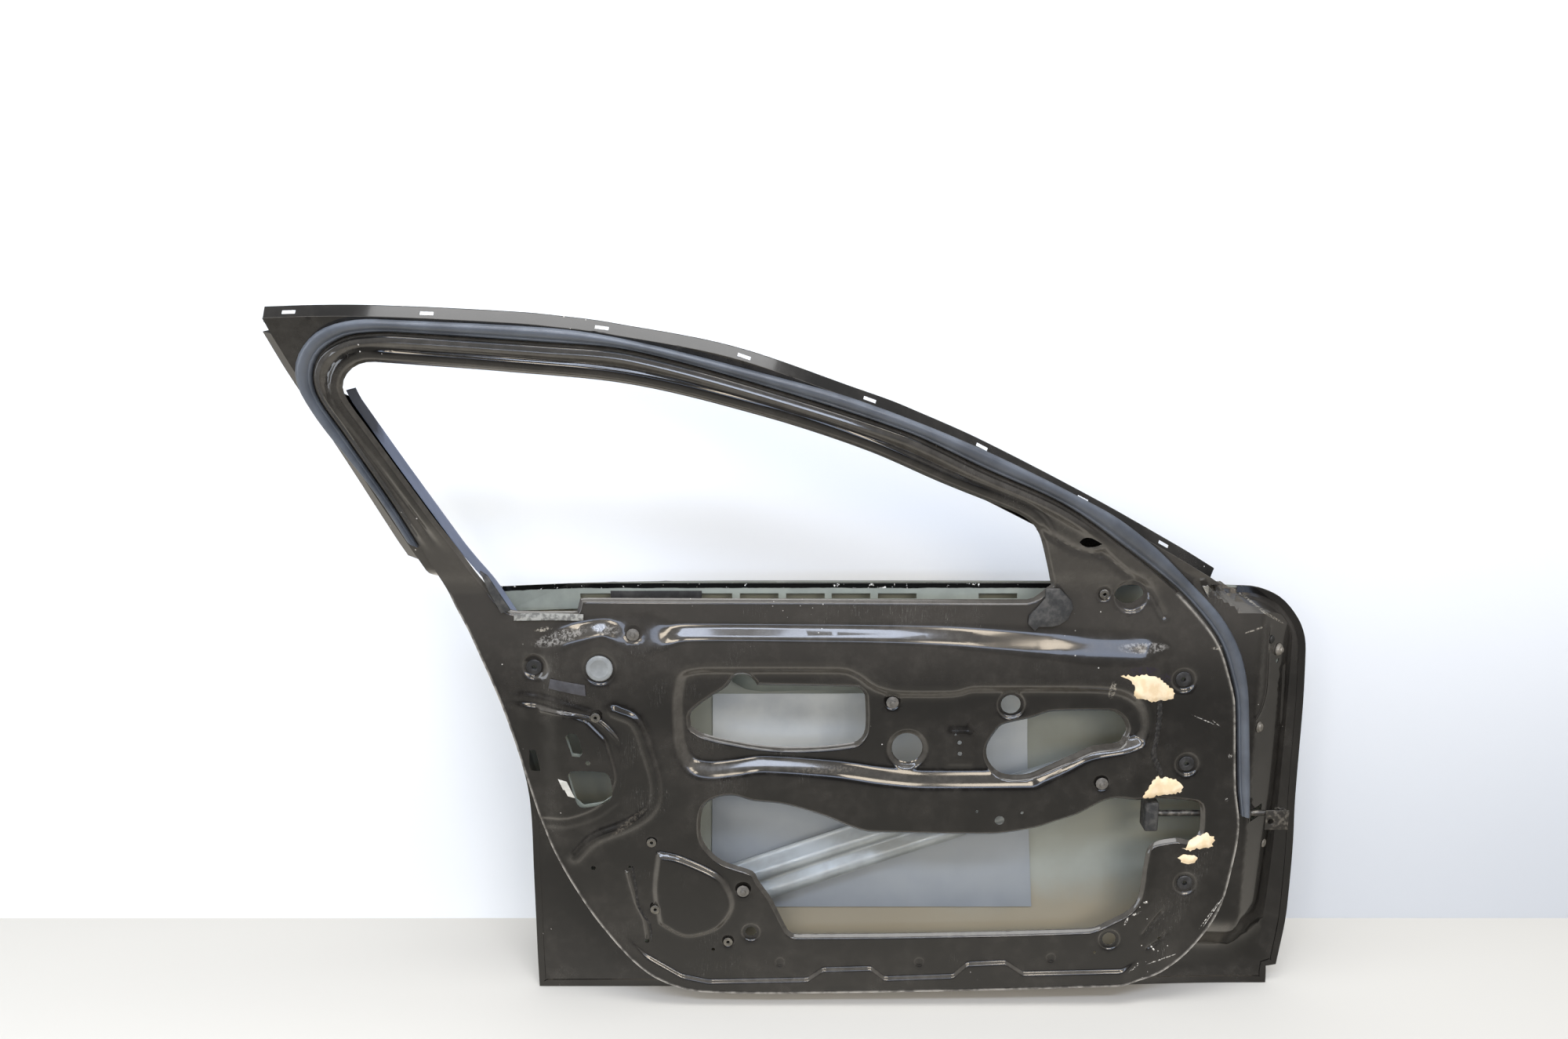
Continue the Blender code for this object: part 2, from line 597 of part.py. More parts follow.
def rod(name, place, axis, radius, length, material, segments_round=16):
    """A plain round bar, centred on a place."""
    data = bmesh.new()
    bmesh.ops.create_cone(data, cap_ends=True, segments=segments_round, radius1=radius * MM,
                          radius2=radius * MM, depth=length * MM)
    data.transform(placed(place, axis))
    return finish_mesh(name, data, material)


def cut(thing, cutter):
    """Take the cutter away from the piece."""
    for collection in list(cutter.users_collection):
        collection.objects.unlink(cutter)
    cutters.objects.link(cutter)
    cutter.display_type = "WIRE"
    cutter.hide_render = True
    if not any(made.type == "TRIANGULATE" for made in thing.modifiers):
        thing.modifiers.new("flat faces", "TRIANGULATE")
    modifier = thing.modifiers.new("cut", "BOOLEAN")
    modifier.operation = "DIFFERENCE"
    modifier.solver = "EXACT"
    modifier.object = cutter


def join(thing, other):
    """Make two overlapping solids one."""
    for collection in list(other.users_collection):
        collection.objects.unlink(other)
    cutters.objects.link(other)
    other.display_type = "WIRE"
    other.hide_render = True
    modifier = thing.modifiers.new("join", "BOOLEAN")
    modifier.operation = "UNION"
    modifier.solver = "EXACT"
    modifier.object = other


def material(name, colour, metallic, roughness):
    made = bpy.data.materials.new(name)
    made.use_nodes = True
    shader = made.node_tree.nodes["Principled BSDF"]
    shader.inputs["Base Color"].default_value = (*colour, 1.0)
    shader.inputs["Metallic"].default_value = metallic
    shader.inputs["Roughness"].default_value = roughness
    return made


def at(x, z, y_offset=0.0):
    """The point on the inner panel's inboard surface."""
    return (x, float(panel_y(np.array([x]), np.array([z]))[0]) + y_offset, z)


def measured(thing):
    """The inboard surface of a sheet as it is faceted, for seating other pieces on it."""
    mesh = thing.data
    return BVHTree.FromPolygons([v.co / MM for v in mesh.vertices], [f.vertices[:] for f in mesh.polygons])


def depth_on(surface, x, z):
    """Depth of a measured surface at (x, z), or None over a hole."""
    hit = surface.ray_cast(Vector((x, -1000.0, z)), Vector((0.0, 1.0, 0.0)))[0]
    return None if hit is None else hit.y


def seat_on_panel(x, z, radius):
    """Place for a round fitting whose flange rests on the inner panel."""
    ring = [(x, z)] + [p for share in (0.75, 1.0) for p in circle(x, z, radius * share, 24)]
    found = [depth_on(panel_surface, a, b) for a, b in ring]
    return (x, min(y for y in found if y is not None), z)


def sheet_depth(surface, fallback, gap):
    """Height function that keeps a gap inboard of a measured surface."""
    def height(x, z):
        found = [depth_on(surface, a, b) for a, b in zip(x, z)]
        plain = fallback(x, z)
        return np.array([p if y is None else y for y, p in zip(found, plain)]) - gap
    return height


def lay_on_panel(name, outline, thickness, material, spacing=30.0, level_back=False):
    """A thin piece that follows the inner panel and clears its facets by the seat gap."""
    flat, tris = triangulated(outline, [], [], spacing, spacing)
    found = [depth_on(panel_surface, x, z) for x, z in flat]
    level = min(y for y in found if y is not None)
    y = np.array([level if y is None or level_back else y for y in found])
    back = BVHTree.FromPolygons([(a, h, b) for (a, b), h in zip(flat, y)], [tuple(t) for t in tris])
    low, high = flat.min(axis=0), flat.max(axis=0)
    sunk = 0.0
    for x in np.arange(low[0], high[0], 2.0):
        for z in np.arange(low[1], high[1], 2.0):
            mine, panel = depth_on(back, x, z), depth_on(panel_surface, x, z)
            if mine is not None and panel is not None:
                sunk = max(sunk, mine - panel)
    rear = dict(zip(map(tuple, flat), y - sunk - SEAT_GAP - 0.3))

    def back_face(x, z):
        return np.array([rear[p] for p in zip(x, z)])

    return pad(name, outline, [], lambda x, z: back_face(x, z) - thickness, back_face, material,
               spacing, spacing)


def make_skin():
    """Outer skin with its hem folded round the inner panel's flange."""
    flat, tris = triangulated(SKIN_OUTLINE, [], [], SKIN_MESH, SKIN_MESH / 2.0)
    rim = divided(SKIN_OUTLINE, True, SKIN_MESH / 2.0)
    data = bmesh.new()
    y = skin_y(flat[:, 0], flat[:, 1])
    verts = [data.verts.new((a * MM, h * MM, b * MM)) for (a, b), h in zip(flat, y)]
    for corners in tris:
        face = data.faces.new([verts[i] for i in corners])
        face.normal_update()
        if face.normal.y > 0:
            face.normal_flip()
    fold = PANEL_GAUGE + 2.0 * FLANGE_GAP
    folded = offset_line(rim, True, -HEM_RETURN)
    starts, _ = segments(rim, True)
    ring = [int(np.hypot(flat[:, 0] - a, flat[:, 1] - b).argmin()) for a, b in starts]
    rows = []
    for line in (rim, folded):
        line = np.array(line)
        depth = skin_y(line[:, 0], line[:, 1]) - fold
        rows.append([data.verts.new((a * MM, h * MM, b * MM)) for (a, b), h in zip(line, depth)])
    count = len(rim)
    for i in range(count):
        j = (i + 1) % count
        (x1, z1), (x2, z2) = rim[i], rim[j]
        if (max(z1, z2) > 620.0 and min(x1, x2) < 655.0) or (max(x1, x2) < 0.0 and max(z1, z2) > 600.0):
            continue
        data.faces.new((verts[ring[i]], verts[ring[j]], rows[0][j], rows[0][i]))
        data.faces.new((rows[0][i], rows[0][j], rows[1][j], rows[1][i]))
    bmesh.ops.delete(data, geom=[v for v in data.verts if not v.link_faces], context="VERTS")
    bmesh.ops.recalc_face_normals(data, faces=data.faces)
    if sum(f.normal.y for f in data.faces) > 0:
        bmesh.ops.reverse_faces(data, faces=data.faces)
    skin = finish_mesh("outer_skin", data, material(
        "black gloss paint on steel skin", PAINT, 0.0, 0.15))
    solidify(skin, SKIN_GAUGE)
    return skin


def make_inner_panel():
    holes = [WINDOW_OPENING, UPPER_LEFT_OPENING, UPPER_RIGHT_OPENING, LOWER_OPENING,
             LATCH_OPENING, LATCH_SLOT, LATCH_EDGE_WINDOW, CHECK_ARM_HOLE,
             circle(*ROUND_HOLE, ROUND_HOLE_R, 20)]
    holes += [circle(x, z, GROMMET_R, 12) for x, z in GROMMETS]
    holes += [circle(x, z, RIVET_NUT_R + 0.4, 10) for x, z in RIVET_NUTS]
    holes += [circle(x, z, r, 12) for x, z, r in OPEN_HOLES]
    holes.append(circle(*PLUG_PLACE, PLUG_R - 3.0, 16))
    lips = [offset_line(o, True, side * LIP_WIDTH) for o, side in (
        (UPPER_LEFT_OPENING, 1), (UPPER_RIGHT_OPENING, 1), (LOWER_OPENING, 1),
        (WINDOW_OPENING, -1))]
    lines = [line + line[:1] for line in lips]
    lines += [UPPER_STEP_TOP[1:-1], UPPER_STEP_FOOT[1:-1], RING + RING[:1]]
    ring_foot = offset_line(RING, True, -RING_EDGE)
    lines.append(ring_foot + ring_foot[:1])
    lines += [SILL_LINE, [(x, z - 5.0) for x, z in SILL_LINE], FACE_EDGE + FACE_EDGE[:1]]
    lines += [LATCH_FIELD_EDGE[1:-1], offset_line(LATCH_FIELD_EDGE[1:-1], False, -9.0), SOFT_RIDGE]
    lines += [CORNER_BOSS_EDGE + CORNER_BOSS_EDGE[:1]]
    lines += [circle(*ROUND_HOLE, ROUND_RIM_R, 20), SEAL_OUTER, SEAL_INNER]
    for x, z in GROMMETS:
        lines += [circle(x, z, r) + circle(x, z, r)[:1] for r in (14.0, 20.0)]
    lines += wall_foot_lines()
    return pressing("inner_panel", PANEL_OUTLINE, holes, lines, panel_y, PANEL_GAUGE, material(
        "black gloss paint on inner panel", PAINT, 0.0, 0.16), spacing=52.0, edge_step=36.0)


def frame_row(line, shift, depth):
    """A row of a frame sheet: the line moved sideways, at a depth below the leaning frame plane."""
    moved = offset_line(line, False, shift) if shift else line
    return [(x, float(frame_base(z)) + depth, z) for x, z in moved]


def panel_row(line, shift, depth):
    """A row of a frame sheet that follows the inner panel at a depth behind it."""
    moved = offset_line(line, False, shift) if shift else line
    return [at(x, z, depth) for x, z in moved]


def make_frame_sheets():
    """Sheets that close the window frame behind the inner panel."""
    black = material("black gloss paint on window frame", PAINT, 0.0, 0.18)
    seat = PANEL_GAUGE + SEAT_GAP + 0.4 + FRAME_GAUGE / 2.0
    rows = [panel_row(PANEL_TOP, -5.0, seat), panel_row(PANEL_TOP, 0.0, seat),
            frame_row(TOP_EDGE, 0.0, ROOF_FLANGE_DEPTH)]
    flange = ribbon("roof_flange", rows, FRAME_GAUGE, black)
    line = np.array(TOP_EDGE, dtype=float)
    for i, along in enumerate(CLIP_SLOTS):
        z = float(np.interp(along, line[:, 0], line[:, 1]))
        ahead = float(np.interp(along + 10.0, line[:, 0], line[:, 1]))
        tilt = math.atan2(ahead - z, 10.0)
        centre = (along + 6.0 * math.sin(tilt), float(frame_base(z)) + 20.0, z - 6.0 * math.cos(tilt))
        cut(flange, bar("clip_slot_cutter_%d" % i, centre, CLIP_SLOT, tilt))
    behind = seat + FRAME_GAUGE + SEAT_GAP + 0.3
    line = [(-606, 1043)] + TOP_EDGE[2:-2]
    rows = [panel_row(line, -ROOF_FLANGE_HEIGHT - 4.0, behind), frame_row(line, -20.0, FRAME_DEPTH - 4.0),
            frame_row(line, -FRAME_FACE, FRAME_DEPTH), frame_row(line, -FRAME_FACE - 5.0, FRAME_DEPTH - 8.0)]
    ribbon("frame_outer_panel", rows, FRAME_GAUGE, black)
    rows = [panel_row(PILLAR_EDGE, -5.0, seat), panel_row(PILLAR_EDGE, 0.0, seat),
            frame_row(PILLAR_STRIP, 0.0, 25.0), frame_row(PILLAR_STRIP, 0.0, PILLAR_STRIP_DEPTH)]
    ribbon("rear_frame_strip", rows, FRAME_GAUGE, material("black pillar strip", PAINT, 0.0, 0.35))
    wall_start = LIP_DEPTH + PANEL_GAUGE + SEAT_GAP + 0.4 + FRAME_GAUGE / 2.0
    rows = [frame_row(CHANNEL_LINE, 1.0, wall_start), frame_row(CHANNEL_LINE, 1.0, GLASS_CHANNEL_DEPTH),
            frame_row(CHANNEL_LINE, 14.0, GLASS_CHANNEL_DEPTH)]
    ribbon("rear_glass_channel", rows, FRAME_GAUGE, material(
        "grey primer on glass channel", (0.20, 0.23, 0.29), 0.0, 0.45))
    outer = GLASS_CHANNEL_DEPTH + FRAME_GAUGE + SEAT_GAP
    rows = [frame_row(PILLAR_STRIP[:-1], -2.0, outer), frame_row(CHANNEL_LINE[3:-1], 5.0, outer)]
    ribbon("pillar_outer_panel", rows, FRAME_GAUGE, black)
    bottom = BELT_HEIGHT - 6.0
    shelf_top = BELT_HEIGHT + 14.0
    outline = [(404, bottom), (520, bottom), (526, bottom + 46), (545, bottom + 60), (442, bottom + 126),
               (400, bottom + 74), (386, bottom + 34)]

    beside_skin = sheet_depth(skin_surface, skin_y, PANEL_GAUGE + 1.6)

    def sail(x, z):
        shelf = smooth((shelf_top - z) / 12.0)
        base = frame_base(z) + FRAME_DEPTH
        return base + shelf * (beside_skin(x, z) - base)

    shelf_lines = [[(x, z) for x in (414, 440, 480, 512)] for z in (shelf_top - 12.0, shelf_top)]
    pressing("mirror_outer_panel", outline, [], shelf_lines, sail, PANEL_GAUGE, black, 50.0, 50.0)


def make_belt():
    """Belt line: inner and outer stiffeners, with the rubber pads and tape that sit on them."""
    xs = [BELT_REAR] + list(np.linspace(BELT_REAR + 22.0, BELT_FRONT, 10))
    lip = PLATE_GAUGE / 2.0 + SEAT_GAP
    primer = material("grey primer on belt stiffener", PRIMER, 0.0, 0.5)

    def row(z, depth):
        skin = [depth_on(skin_surface, x, min(z, BELT_HEIGHT - 2.0)) for x in xs]
        return [(x, y + depth if depth < 0 else min(depth, y - 8.0), z) for x, y in zip(xs, skin)]

    top = BELT_HEIGHT + 2.0
    edge, foot = row(top, BELT_OUTER_DEPTH + 2.0), row(BELT_OUTER_FOOT, BELT_OUTER_DEPTH)
    rows = [row(BELT_HEIGHT - 10.0, -lip), row(BELT_HEIGHT - 2.0, -lip), edge, foot]
    outer = ribbon("belt_outer_reinforcement", rows, PLATE_GAUGE, primer)
    for i, x in enumerate(BELT_SLOTS):
        cut(outer, bar("belt_slot_cutter_%d" % i, (x, BELT_OUTER_DEPTH, BELT_SLOT_HEIGHT), BELT_SLOT, 0.0))
    seat = PANEL_GAUGE + SEAT_GAP + PLATE_GAUGE / 2.0
    xs = np.linspace(-248.0, 330.0, 5)
    rows = [[(x, y, z) for x in xs] for z, y in
            ((574.0, 14.0), (596.0, 14.0), (607.0, seat), (624.0, seat))]
    ribbon("belt_inner_reinforcement", rows, PLATE_GAUGE, primer)
    rubber = material("black rubber belt pads", RUBBER, 0.0, 0.7)
    pitch = foot[2][0] - foot[1][0]
    low, high = BELT_TAPE[0][0], BELT_TAPE[1][0]
    carried = [i for i, spot in enumerate(foot) if low <= spot[0] <= high]
    under = min(spot[1] for spot in foot if low - pitch <= spot[0] <= high + pitch)
    tape_back = under - PLATE_GAUGE / 2.0 - SEAT_GAP
    slope = min(edge[i][1] - foot[i][1] for i in carried) / (top - BELT_OUTER_FOOT)

    def tape(x, z, depth):
        return tape_back + slope * (z - BELT_OUTER_FOOT) - depth + 0.0 * x

    pad("belt_tape", BELT_TAPE, [], lambda x, z: tape(x, z, 0.8), lambda x, z: tape(x, z, 0.0),
        material("black cloth tape", (0.045, 0.045, 0.047), 0.0, 0.8))
    lay_on_panel("front_belt_pad", FRONT_BELT_PAD, 5.0, rubber, 25.0)
    lay_on_panel("rear_belt_pad", REAR_BELT_PAD, 6.0, rubber, 25.0, True)
    lay_on_panel("belt_adhesive_strip", ADHESIVE_STRIP, 1.4, material(
        "pale adhesive strip", (0.42, 0.40, 0.37), 0.0, 0.7))


def beam_point(along, across, inboard):
    """A point of the impact beam: along its line, across it, and inboard of the skin."""
    start, end = Vector(BEAM_REAR), Vector(BEAM_FRONT)
    run = (end - start).normalized()
    spot = start + (end - start) * along + Vector((-run.y, run.x)) * across
    return (spot.x, float(skin_y(spot.x, spot.y)) - inboard, spot.y)


def make_beam():
    """Impact beam with two crowns, and the brackets that carry it at both ends."""
    half = BEAM_WIDTH / 2.0
    low = BEAM_SEAT
    high = BEAM_SEAT + BEAM_CROWN
    mid = BEAM_SEAT + BEAM_CROWN * 0.4
    section = [(-1.0, low), (-0.78, low), (-0.64, high), (-0.26, high), (-0.1, mid), (0.1, mid),
               (0.26, high), (0.64, high), (0.78, low), (1.0, low)]
    steps = [i / 8.0 for i in range(9)]
    rows = [[beam_point(t, across * half, depth) for t in steps] for across, depth in section]
    steel = material("grey primer on impact beam", (0.33, 0.35, 0.36), 0.1, 0.45)
    ribbon("impact_beam", rows, BEAM_GAUGE, steel)
    behind = high + BEAM_GAUGE / 2.0 + SEAT_GAP + 0.4 + PLATE_GAUGE / 2.0
    primer = material("grey primer on beam brackets", PRIMER, 0.0, 0.5)

    half_bracket = 0.64 * half
    run = (Vector(BEAM_FRONT) - Vector(BEAM_REAR)).normalized()

    def on_beam(t):
        return [beam_point(t, side * half_bracket, behind) for side in (-1, 1)]

    def beyond(end, reach, depth):
        rows = [Vector((p[0], p[2])) + run * reach for p in end]
        return [(p.x, depth(p.x), p.y) for p in rows]

    def wall(x):
        back = PANEL_GAUGE * math.sqrt(2.0) + SEAT_GAP + 0.2 + PLATE_GAUGE * 0.71
        return HINGE_WALL_DEPTH + HINGE_WALL_SLOPE * (x - HINGE_WALL_START) + back

    def face(x):
        return PANEL_GAUGE + SEAT_GAP + PLATE_GAUGE / 2.0

    front, rear = on_beam(1.0), on_beam(0.0)
    rows = [on_beam(0.875), front, beyond(front, 72.0, wall), beyond(front, 94.0, wall)]
    ribbon("beam_bracket_front", rows, PLATE_GAUGE, primer)
    rows = [beyond(rear, -30.0, face), beyond(rear, -10.0, face), rear, on_beam(0.125)]
    ribbon("beam_bracket_rear", rows, PLATE_GAUGE, primer)


def make_stiffeners():
    """Plates fixed behind the inner panel and on the inside of the skin."""
    primer = material("grey primer on stiffener plates", PRIMER, 0.0, 0.5)
    gap = 1.0
    pressing("damping_sheet", DAMPING_SHEET, [], [],
             sheet_depth(skin_surface, skin_y, gap + DAMPING_GAUGE), DAMPING_GAUGE, material(
                 "aluminium faced damping sheet", (0.33, 0.35, 0.37), 0.6, 0.4), 70.0, 60.0)

    def handle_plate(x, z):
        raised = smooth((depth_inside(x, z, HANDLE_PLATE) - 3.0) / 12.0)
        return skin_y(x, z) - gap - PANEL_GAUGE - HANDLE_PLATE_RISE * raised

    inner = offset_line(HANDLE_PLATE, True, 15.0)
    pressing("handle_reinforcement", HANDLE_PLATE, [], [inner + inner[:1]], handle_plate, PANEL_GAUGE,
             primer, 45.0, 40.0)
    back = PANEL_GAUGE * math.sqrt(2.0) + SEAT_GAP

    def hinge_plate(x, z):
        return HINGE_WALL_DEPTH + HINGE_WALL_SLOPE * (x - HINGE_WALL_START) + back

    for name, low, high in (("hinge_reinforcement_upper", 452.0, 545.0),
                            ("hinge_reinforcement_lower", 150.0, 242.0)):
        outline = [(682, low), (728, low), (728, high), (682, high)]
        pressing(name, outline, [], [], hinge_plate, HINGE_PLATE_GAUGE, primer, 80.0, 60.0)
    field = LATCH_FIELD + PANEL_GAUGE + SEAT_GAP + 0.35
    holes = [offset_line(LATCH_OPENING, True, 1.5), offset_line(LATCH_SLOT, True, 1.5)]
    pressing("latch_reinforcement", LATCH_PLATE, holes, [], lambda x, z: field + 0.0 * x, PLATE_GAUGE,
             primer, 60.0, 60.0)


def make_seal():
    """Rubber door seal pressed onto its seat round the window frame."""
    outline = SEAL_OUTER + SEAL_INNER[::-1]
    middle = [tuple((Vector(a) + Vector(b)) / 2.0) for a, b in zip(SEAL_OUTER, SEAL_INNER)]

    def back(x, z):
        return frame_base(z) + SEAL_SEAT - SEAT_GAP - 0.3 + 0.0 * x

    def front(x, z):
        near = distance(x, z, middle, False)
        crown = SEAL_CROWN * smooth(1.0 - near / 8.0)
        return frame_base(z) + SEAL_SEAT - SEAL_THICKNESS + SEAL_CROWN - crown

    pad("door_seal", outline, [middle], front, back, material(
        "black rubber door seal", RUBBER, 0.0, 0.5), 200.0, 40.0)


def make_fittings():
    """Grommets, nuts, clips and plugs in the holes of the inner panel."""
    plastic = material("grey plastic grommet", (0.10, 0.10, 0.10), 0.0, 0.5)
    steel = material("zinc plated steel nut", STEEL, 0.9, 0.35)
    black = material("black plastic clip", (0.03, 0.03, 0.03), 0.0, 0.4)
    seat, neck = 0.4, PANEL_GAUGE + 3.0
    for i, (x, z) in enumerate(GROMMETS):
        profile = [(GROMMET_BORE, 1.8), (10.5, 1.8), (11.5, seat), (GROMMET_R - 0.4, seat),
                   (GROMMET_R - 0.4, -neck), (GROMMET_BORE, -neck)]
        turned("grommet_%d" % (i + 1), profile, seat_on_panel(x, z, 11.5), (0, -1, 0), plastic, 14)
    for i, (x, z) in enumerate(RIVET_NUTS):
        profile = [(2.5, 1.6), (RIVET_NUT_R + 2.5, 1.6), (RIVET_NUT_R + 2.5, seat), (RIVET_NUT_R, seat),
                   (RIVET_NUT_R, -9.0), (2.5, -9.0)]
        turned("rivet_nut_%d" % (i + 1), profile, seat_on_panel(x, z, 7.0), (0, -1, 0), steel, 12)
    for i, (x, z) in enumerate(CLIP_NUTS):
        profile = [(0.0, 6.0), (3.0, 6.0), (3.8, 2.4), (CLIP_NUT_R, 2.0), (CLIP_NUT_R, seat), (0.0, seat)]
        turned("trim_stud_%d" % (i + 1), profile, seat_on_panel(x, z, 9.0), (0, -1, 0), black, 12)
    profile = [(0.0, 2.6), (11.0, 2.6), (13.0, 3.6), (17.5, 3.0), (PLUG_R, 1.4), (PLUG_R, seat),
               (PLUG_R - 3.4, seat), (PLUG_R - 4.0, -6.0), (0.0, -6.0)]
    turned("round_plug", profile, seat_on_panel(*PLUG_PLACE, PLUG_R), (0, -1, 0), material(
        "dark grey rubber plug", (0.07, 0.075, 0.08), 0.0, 0.45), 24)
    out = (1.0, -1.0, 0.0)
    profile = [(0.0, 8.0), (3.5, 8.0), (4.5, 6.0), (7.0, 5.4), (9.0, 2.4), (9.0, seat), (0.0, seat)]
    turned("hinge_wall_boss", profile, at(713, 543), out, steel, 14)
    profile = [(0.0, 5.0), (5.0, 5.0), (6.0, 4.0), (6.0, 1.4), (8.0, 1.4), (8.0, seat), (0.0, seat)]
    turned("hinge_wall_bolt", profile, at(684, 435), out, steel, 14)
    profile = [(0.0, 2.4), (5.0, 2.4), (6.5, 1.2), (6.5, seat), (0.0, seat)]
    for name, x, z in (("upper_wall_plug", 697, 563), ("lower_wall_plug", 720, 235)):
        turned(name, profile, at(x, z), out, black, 12)


def make_patches():
    """Thin pieces left stuck to the face: torn felt, tape, label and clip."""
    felt = material("torn felt residue", (0.80, 0.62, 0.44), 0.0, 0.95)
    thin = [("felt_patch_1", FELT_PATCHES[0], 1.6, felt), ("felt_patch_2", FELT_PATCHES[1], 1.6, felt),
            ("felt_patch_3", FELT_PATCHES[2], 1.6, felt), ("felt_patch_4", FELT_PATCHES[3], 1.6, felt),
            ("tape_patch", TAPE_PATCH, 0.8, material("dark grey tape", (0.09, 0.09, 0.095), 0.0, 0.6)),
            ("blank_label", BLANK_LABEL, 0.6, material("pale label film", (0.62, 0.62, 0.60), 0.0, 0.5)),
            ("frame_clip", FRAME_CLIP, 2.0, material("bright spring steel", STEEL, 0.9, 0.3))]
    for name, outline, thick, stuff in thin:
        lay_on_panel(name, outline, thick, stuff, 16.0)


def make_check():
    """Door check: arm with its end stop and pin, housing behind the hinge wall, pillar bracket."""
    steel = material("zinc plated check steel", STEEL, 0.9, 0.35)
    black = material("black check plastic", (0.03, 0.03, 0.032), 0.0, 0.45)
    gap = CHECK_CLEARANCE
    rear, front = CHECK_STOP_X + CHECK_STOP_DEPTH - CHECK_ARM_SEAT, CHECK_PIN_X - CHECK_EYE_R + 2.0
    middle = (rear + front) / 2.0
    arm = rod("check_arm", (middle, CHECK_Y, CHECK_Z), (1, 0, 0), CHECK_ROD_R, front - rear, steel)
    half = CHECK_EYE_HEIGHT / 2.0
    pin = (CHECK_PIN_X, CHECK_Y, CHECK_Z)
    join(arm, rod("check_eye", pin, (0, 0, 1), CHECK_EYE_R, CHECK_EYE_HEIGHT, steel, 20))
    cut(arm, rod("check_eye_hole", pin, (0, 0, 1), CHECK_PIN_R + gap, 3.0 * CHECK_EYE_HEIGHT, steel))
    depth, height = CHECK_STOP_SIZE
    stop = block("check_end_stop", (CHECK_STOP_X, CHECK_Y - depth / 2.0, CHECK_Z - height / 2.0),
                 (CHECK_STOP_X + CHECK_STOP_DEPTH, CHECK_Y + depth / 2.0, CHECK_Z + height / 2.0), black, 3.0)
    socket = CHECK_STOP_X + CHECK_STOP_DEPTH
    cut(stop, rod("check_stop_socket", (socket, CHECK_Y, CHECK_Z), (1, 0, 0), CHECK_ROD_R + gap,
                  2.0 * (CHECK_ARM_SEAT + gap), black))
    ear_low = half + gap
    ear_high = ear_low + PLATE_GAUGE
    profile = [(0.0, ear_high + 1.6), (4.2, ear_high + 1.6), (4.2, ear_high + gap),
               (CHECK_PIN_R, ear_high + gap), (CHECK_PIN_R, -ear_high - 1.0), (0.0, -ear_high - 1.0)]
    turned("check_pin", profile, pin, (0, 0, 1), steel, 16)
    low_y = CHECK_Y - CHECK_BRACKET_REACH
    plate = block("check_bracket", (706.0, low_y - 2.0, CHECK_Z - 22.0), (740.0, low_y, CHECK_Z + 8.5), steel, 0.4)
    for sign, label in ((1, "upper"), (-1, "lower")):
        z0, z1 = sorted((CHECK_Z + sign * ear_low, CHECK_Z + sign * ear_high))
        tongue = block("check_tongue_" + label, (CHECK_PIN_X - 8.0, low_y - 1.0, z0),
                       (CHECK_PIN_X + 8.0, CHECK_Y, z1), steel)
        join(plate, tongue)
        centre = (CHECK_PIN_X, CHECK_Y, (z0 + z1) / 2.0)
        join(plate, rod("check_ear_" + label, centre, (0, 0, 1), 8.0, z1 - z0, steel, 20))
    cut(plate, rod("check_bracket_hole", pin, (0, 0, 1), CHECK_PIN_R + gap, 60.0, steel))
    cut(plate, rod("check_bolt_hole", (714.0, low_y, CHECK_Z - 9.0), (0, 1, 0), 4.5, 20.0, steel))
    x0, x1, low, high, z0, z1 = CHECK_HOUSING
    housing = block("check_housing", (x0, low, z0), (x1, high, z1), black, 2.0)
    cut(housing, rod("check_housing_bore", (x0, CHECK_Y, CHECK_Z), (1, 0, 0), CHECK_ROD_R + gap, 200.0, black))


clear_scene()
parts = bpy.data.collections.new("car_door_shell")
cutters = bpy.data.collections.new("cutters")
for group in (parts, cutters):
    bpy.context.scene.collection.children.link(group)
origin = at(*HINGE_PAD)
door_frame = bpy.data.objects.new("door_frame", None)
parts.objects.link(door_frame)
door_frame.location = -Vector(origin) * MM
skin_surface = measured(make_skin())
panel_surface = measured(make_inner_panel())
for make in (make_frame_sheets, make_belt, make_beam, make_stiffeners, make_seal, make_fittings,
             make_patches, make_check):
    make()
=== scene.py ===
"""A stripped car door shell, seen from its trim side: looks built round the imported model.

Lines on the door are drawn in layout millimetres: x towards the hinge side, y outboard from the trim
face, z up from the lower hem. The model's origin is the upper hinge pad.
"""
import json
import math
import random

import bpy
import numpy as np
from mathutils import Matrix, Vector
from mathutils.geometry import delaunay_2d_cdt
from mathutils.kdtree import KDTree

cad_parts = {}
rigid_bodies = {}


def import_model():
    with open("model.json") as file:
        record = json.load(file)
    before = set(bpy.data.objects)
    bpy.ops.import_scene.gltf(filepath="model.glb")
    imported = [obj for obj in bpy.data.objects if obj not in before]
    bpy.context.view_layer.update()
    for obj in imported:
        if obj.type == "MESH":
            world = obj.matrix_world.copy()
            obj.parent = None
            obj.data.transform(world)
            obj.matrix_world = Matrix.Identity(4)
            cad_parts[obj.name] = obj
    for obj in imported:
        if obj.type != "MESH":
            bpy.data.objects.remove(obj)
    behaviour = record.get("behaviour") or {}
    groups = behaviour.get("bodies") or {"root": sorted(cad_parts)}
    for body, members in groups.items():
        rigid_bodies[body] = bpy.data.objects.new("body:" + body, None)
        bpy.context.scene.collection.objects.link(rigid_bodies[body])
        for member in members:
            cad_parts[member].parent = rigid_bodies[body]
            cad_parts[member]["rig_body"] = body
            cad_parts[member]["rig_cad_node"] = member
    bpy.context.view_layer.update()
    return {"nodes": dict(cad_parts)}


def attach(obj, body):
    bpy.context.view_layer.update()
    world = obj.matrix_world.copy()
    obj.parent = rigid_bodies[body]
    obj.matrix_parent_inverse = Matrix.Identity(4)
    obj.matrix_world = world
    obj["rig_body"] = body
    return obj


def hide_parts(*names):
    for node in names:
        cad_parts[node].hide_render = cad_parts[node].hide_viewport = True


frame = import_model()
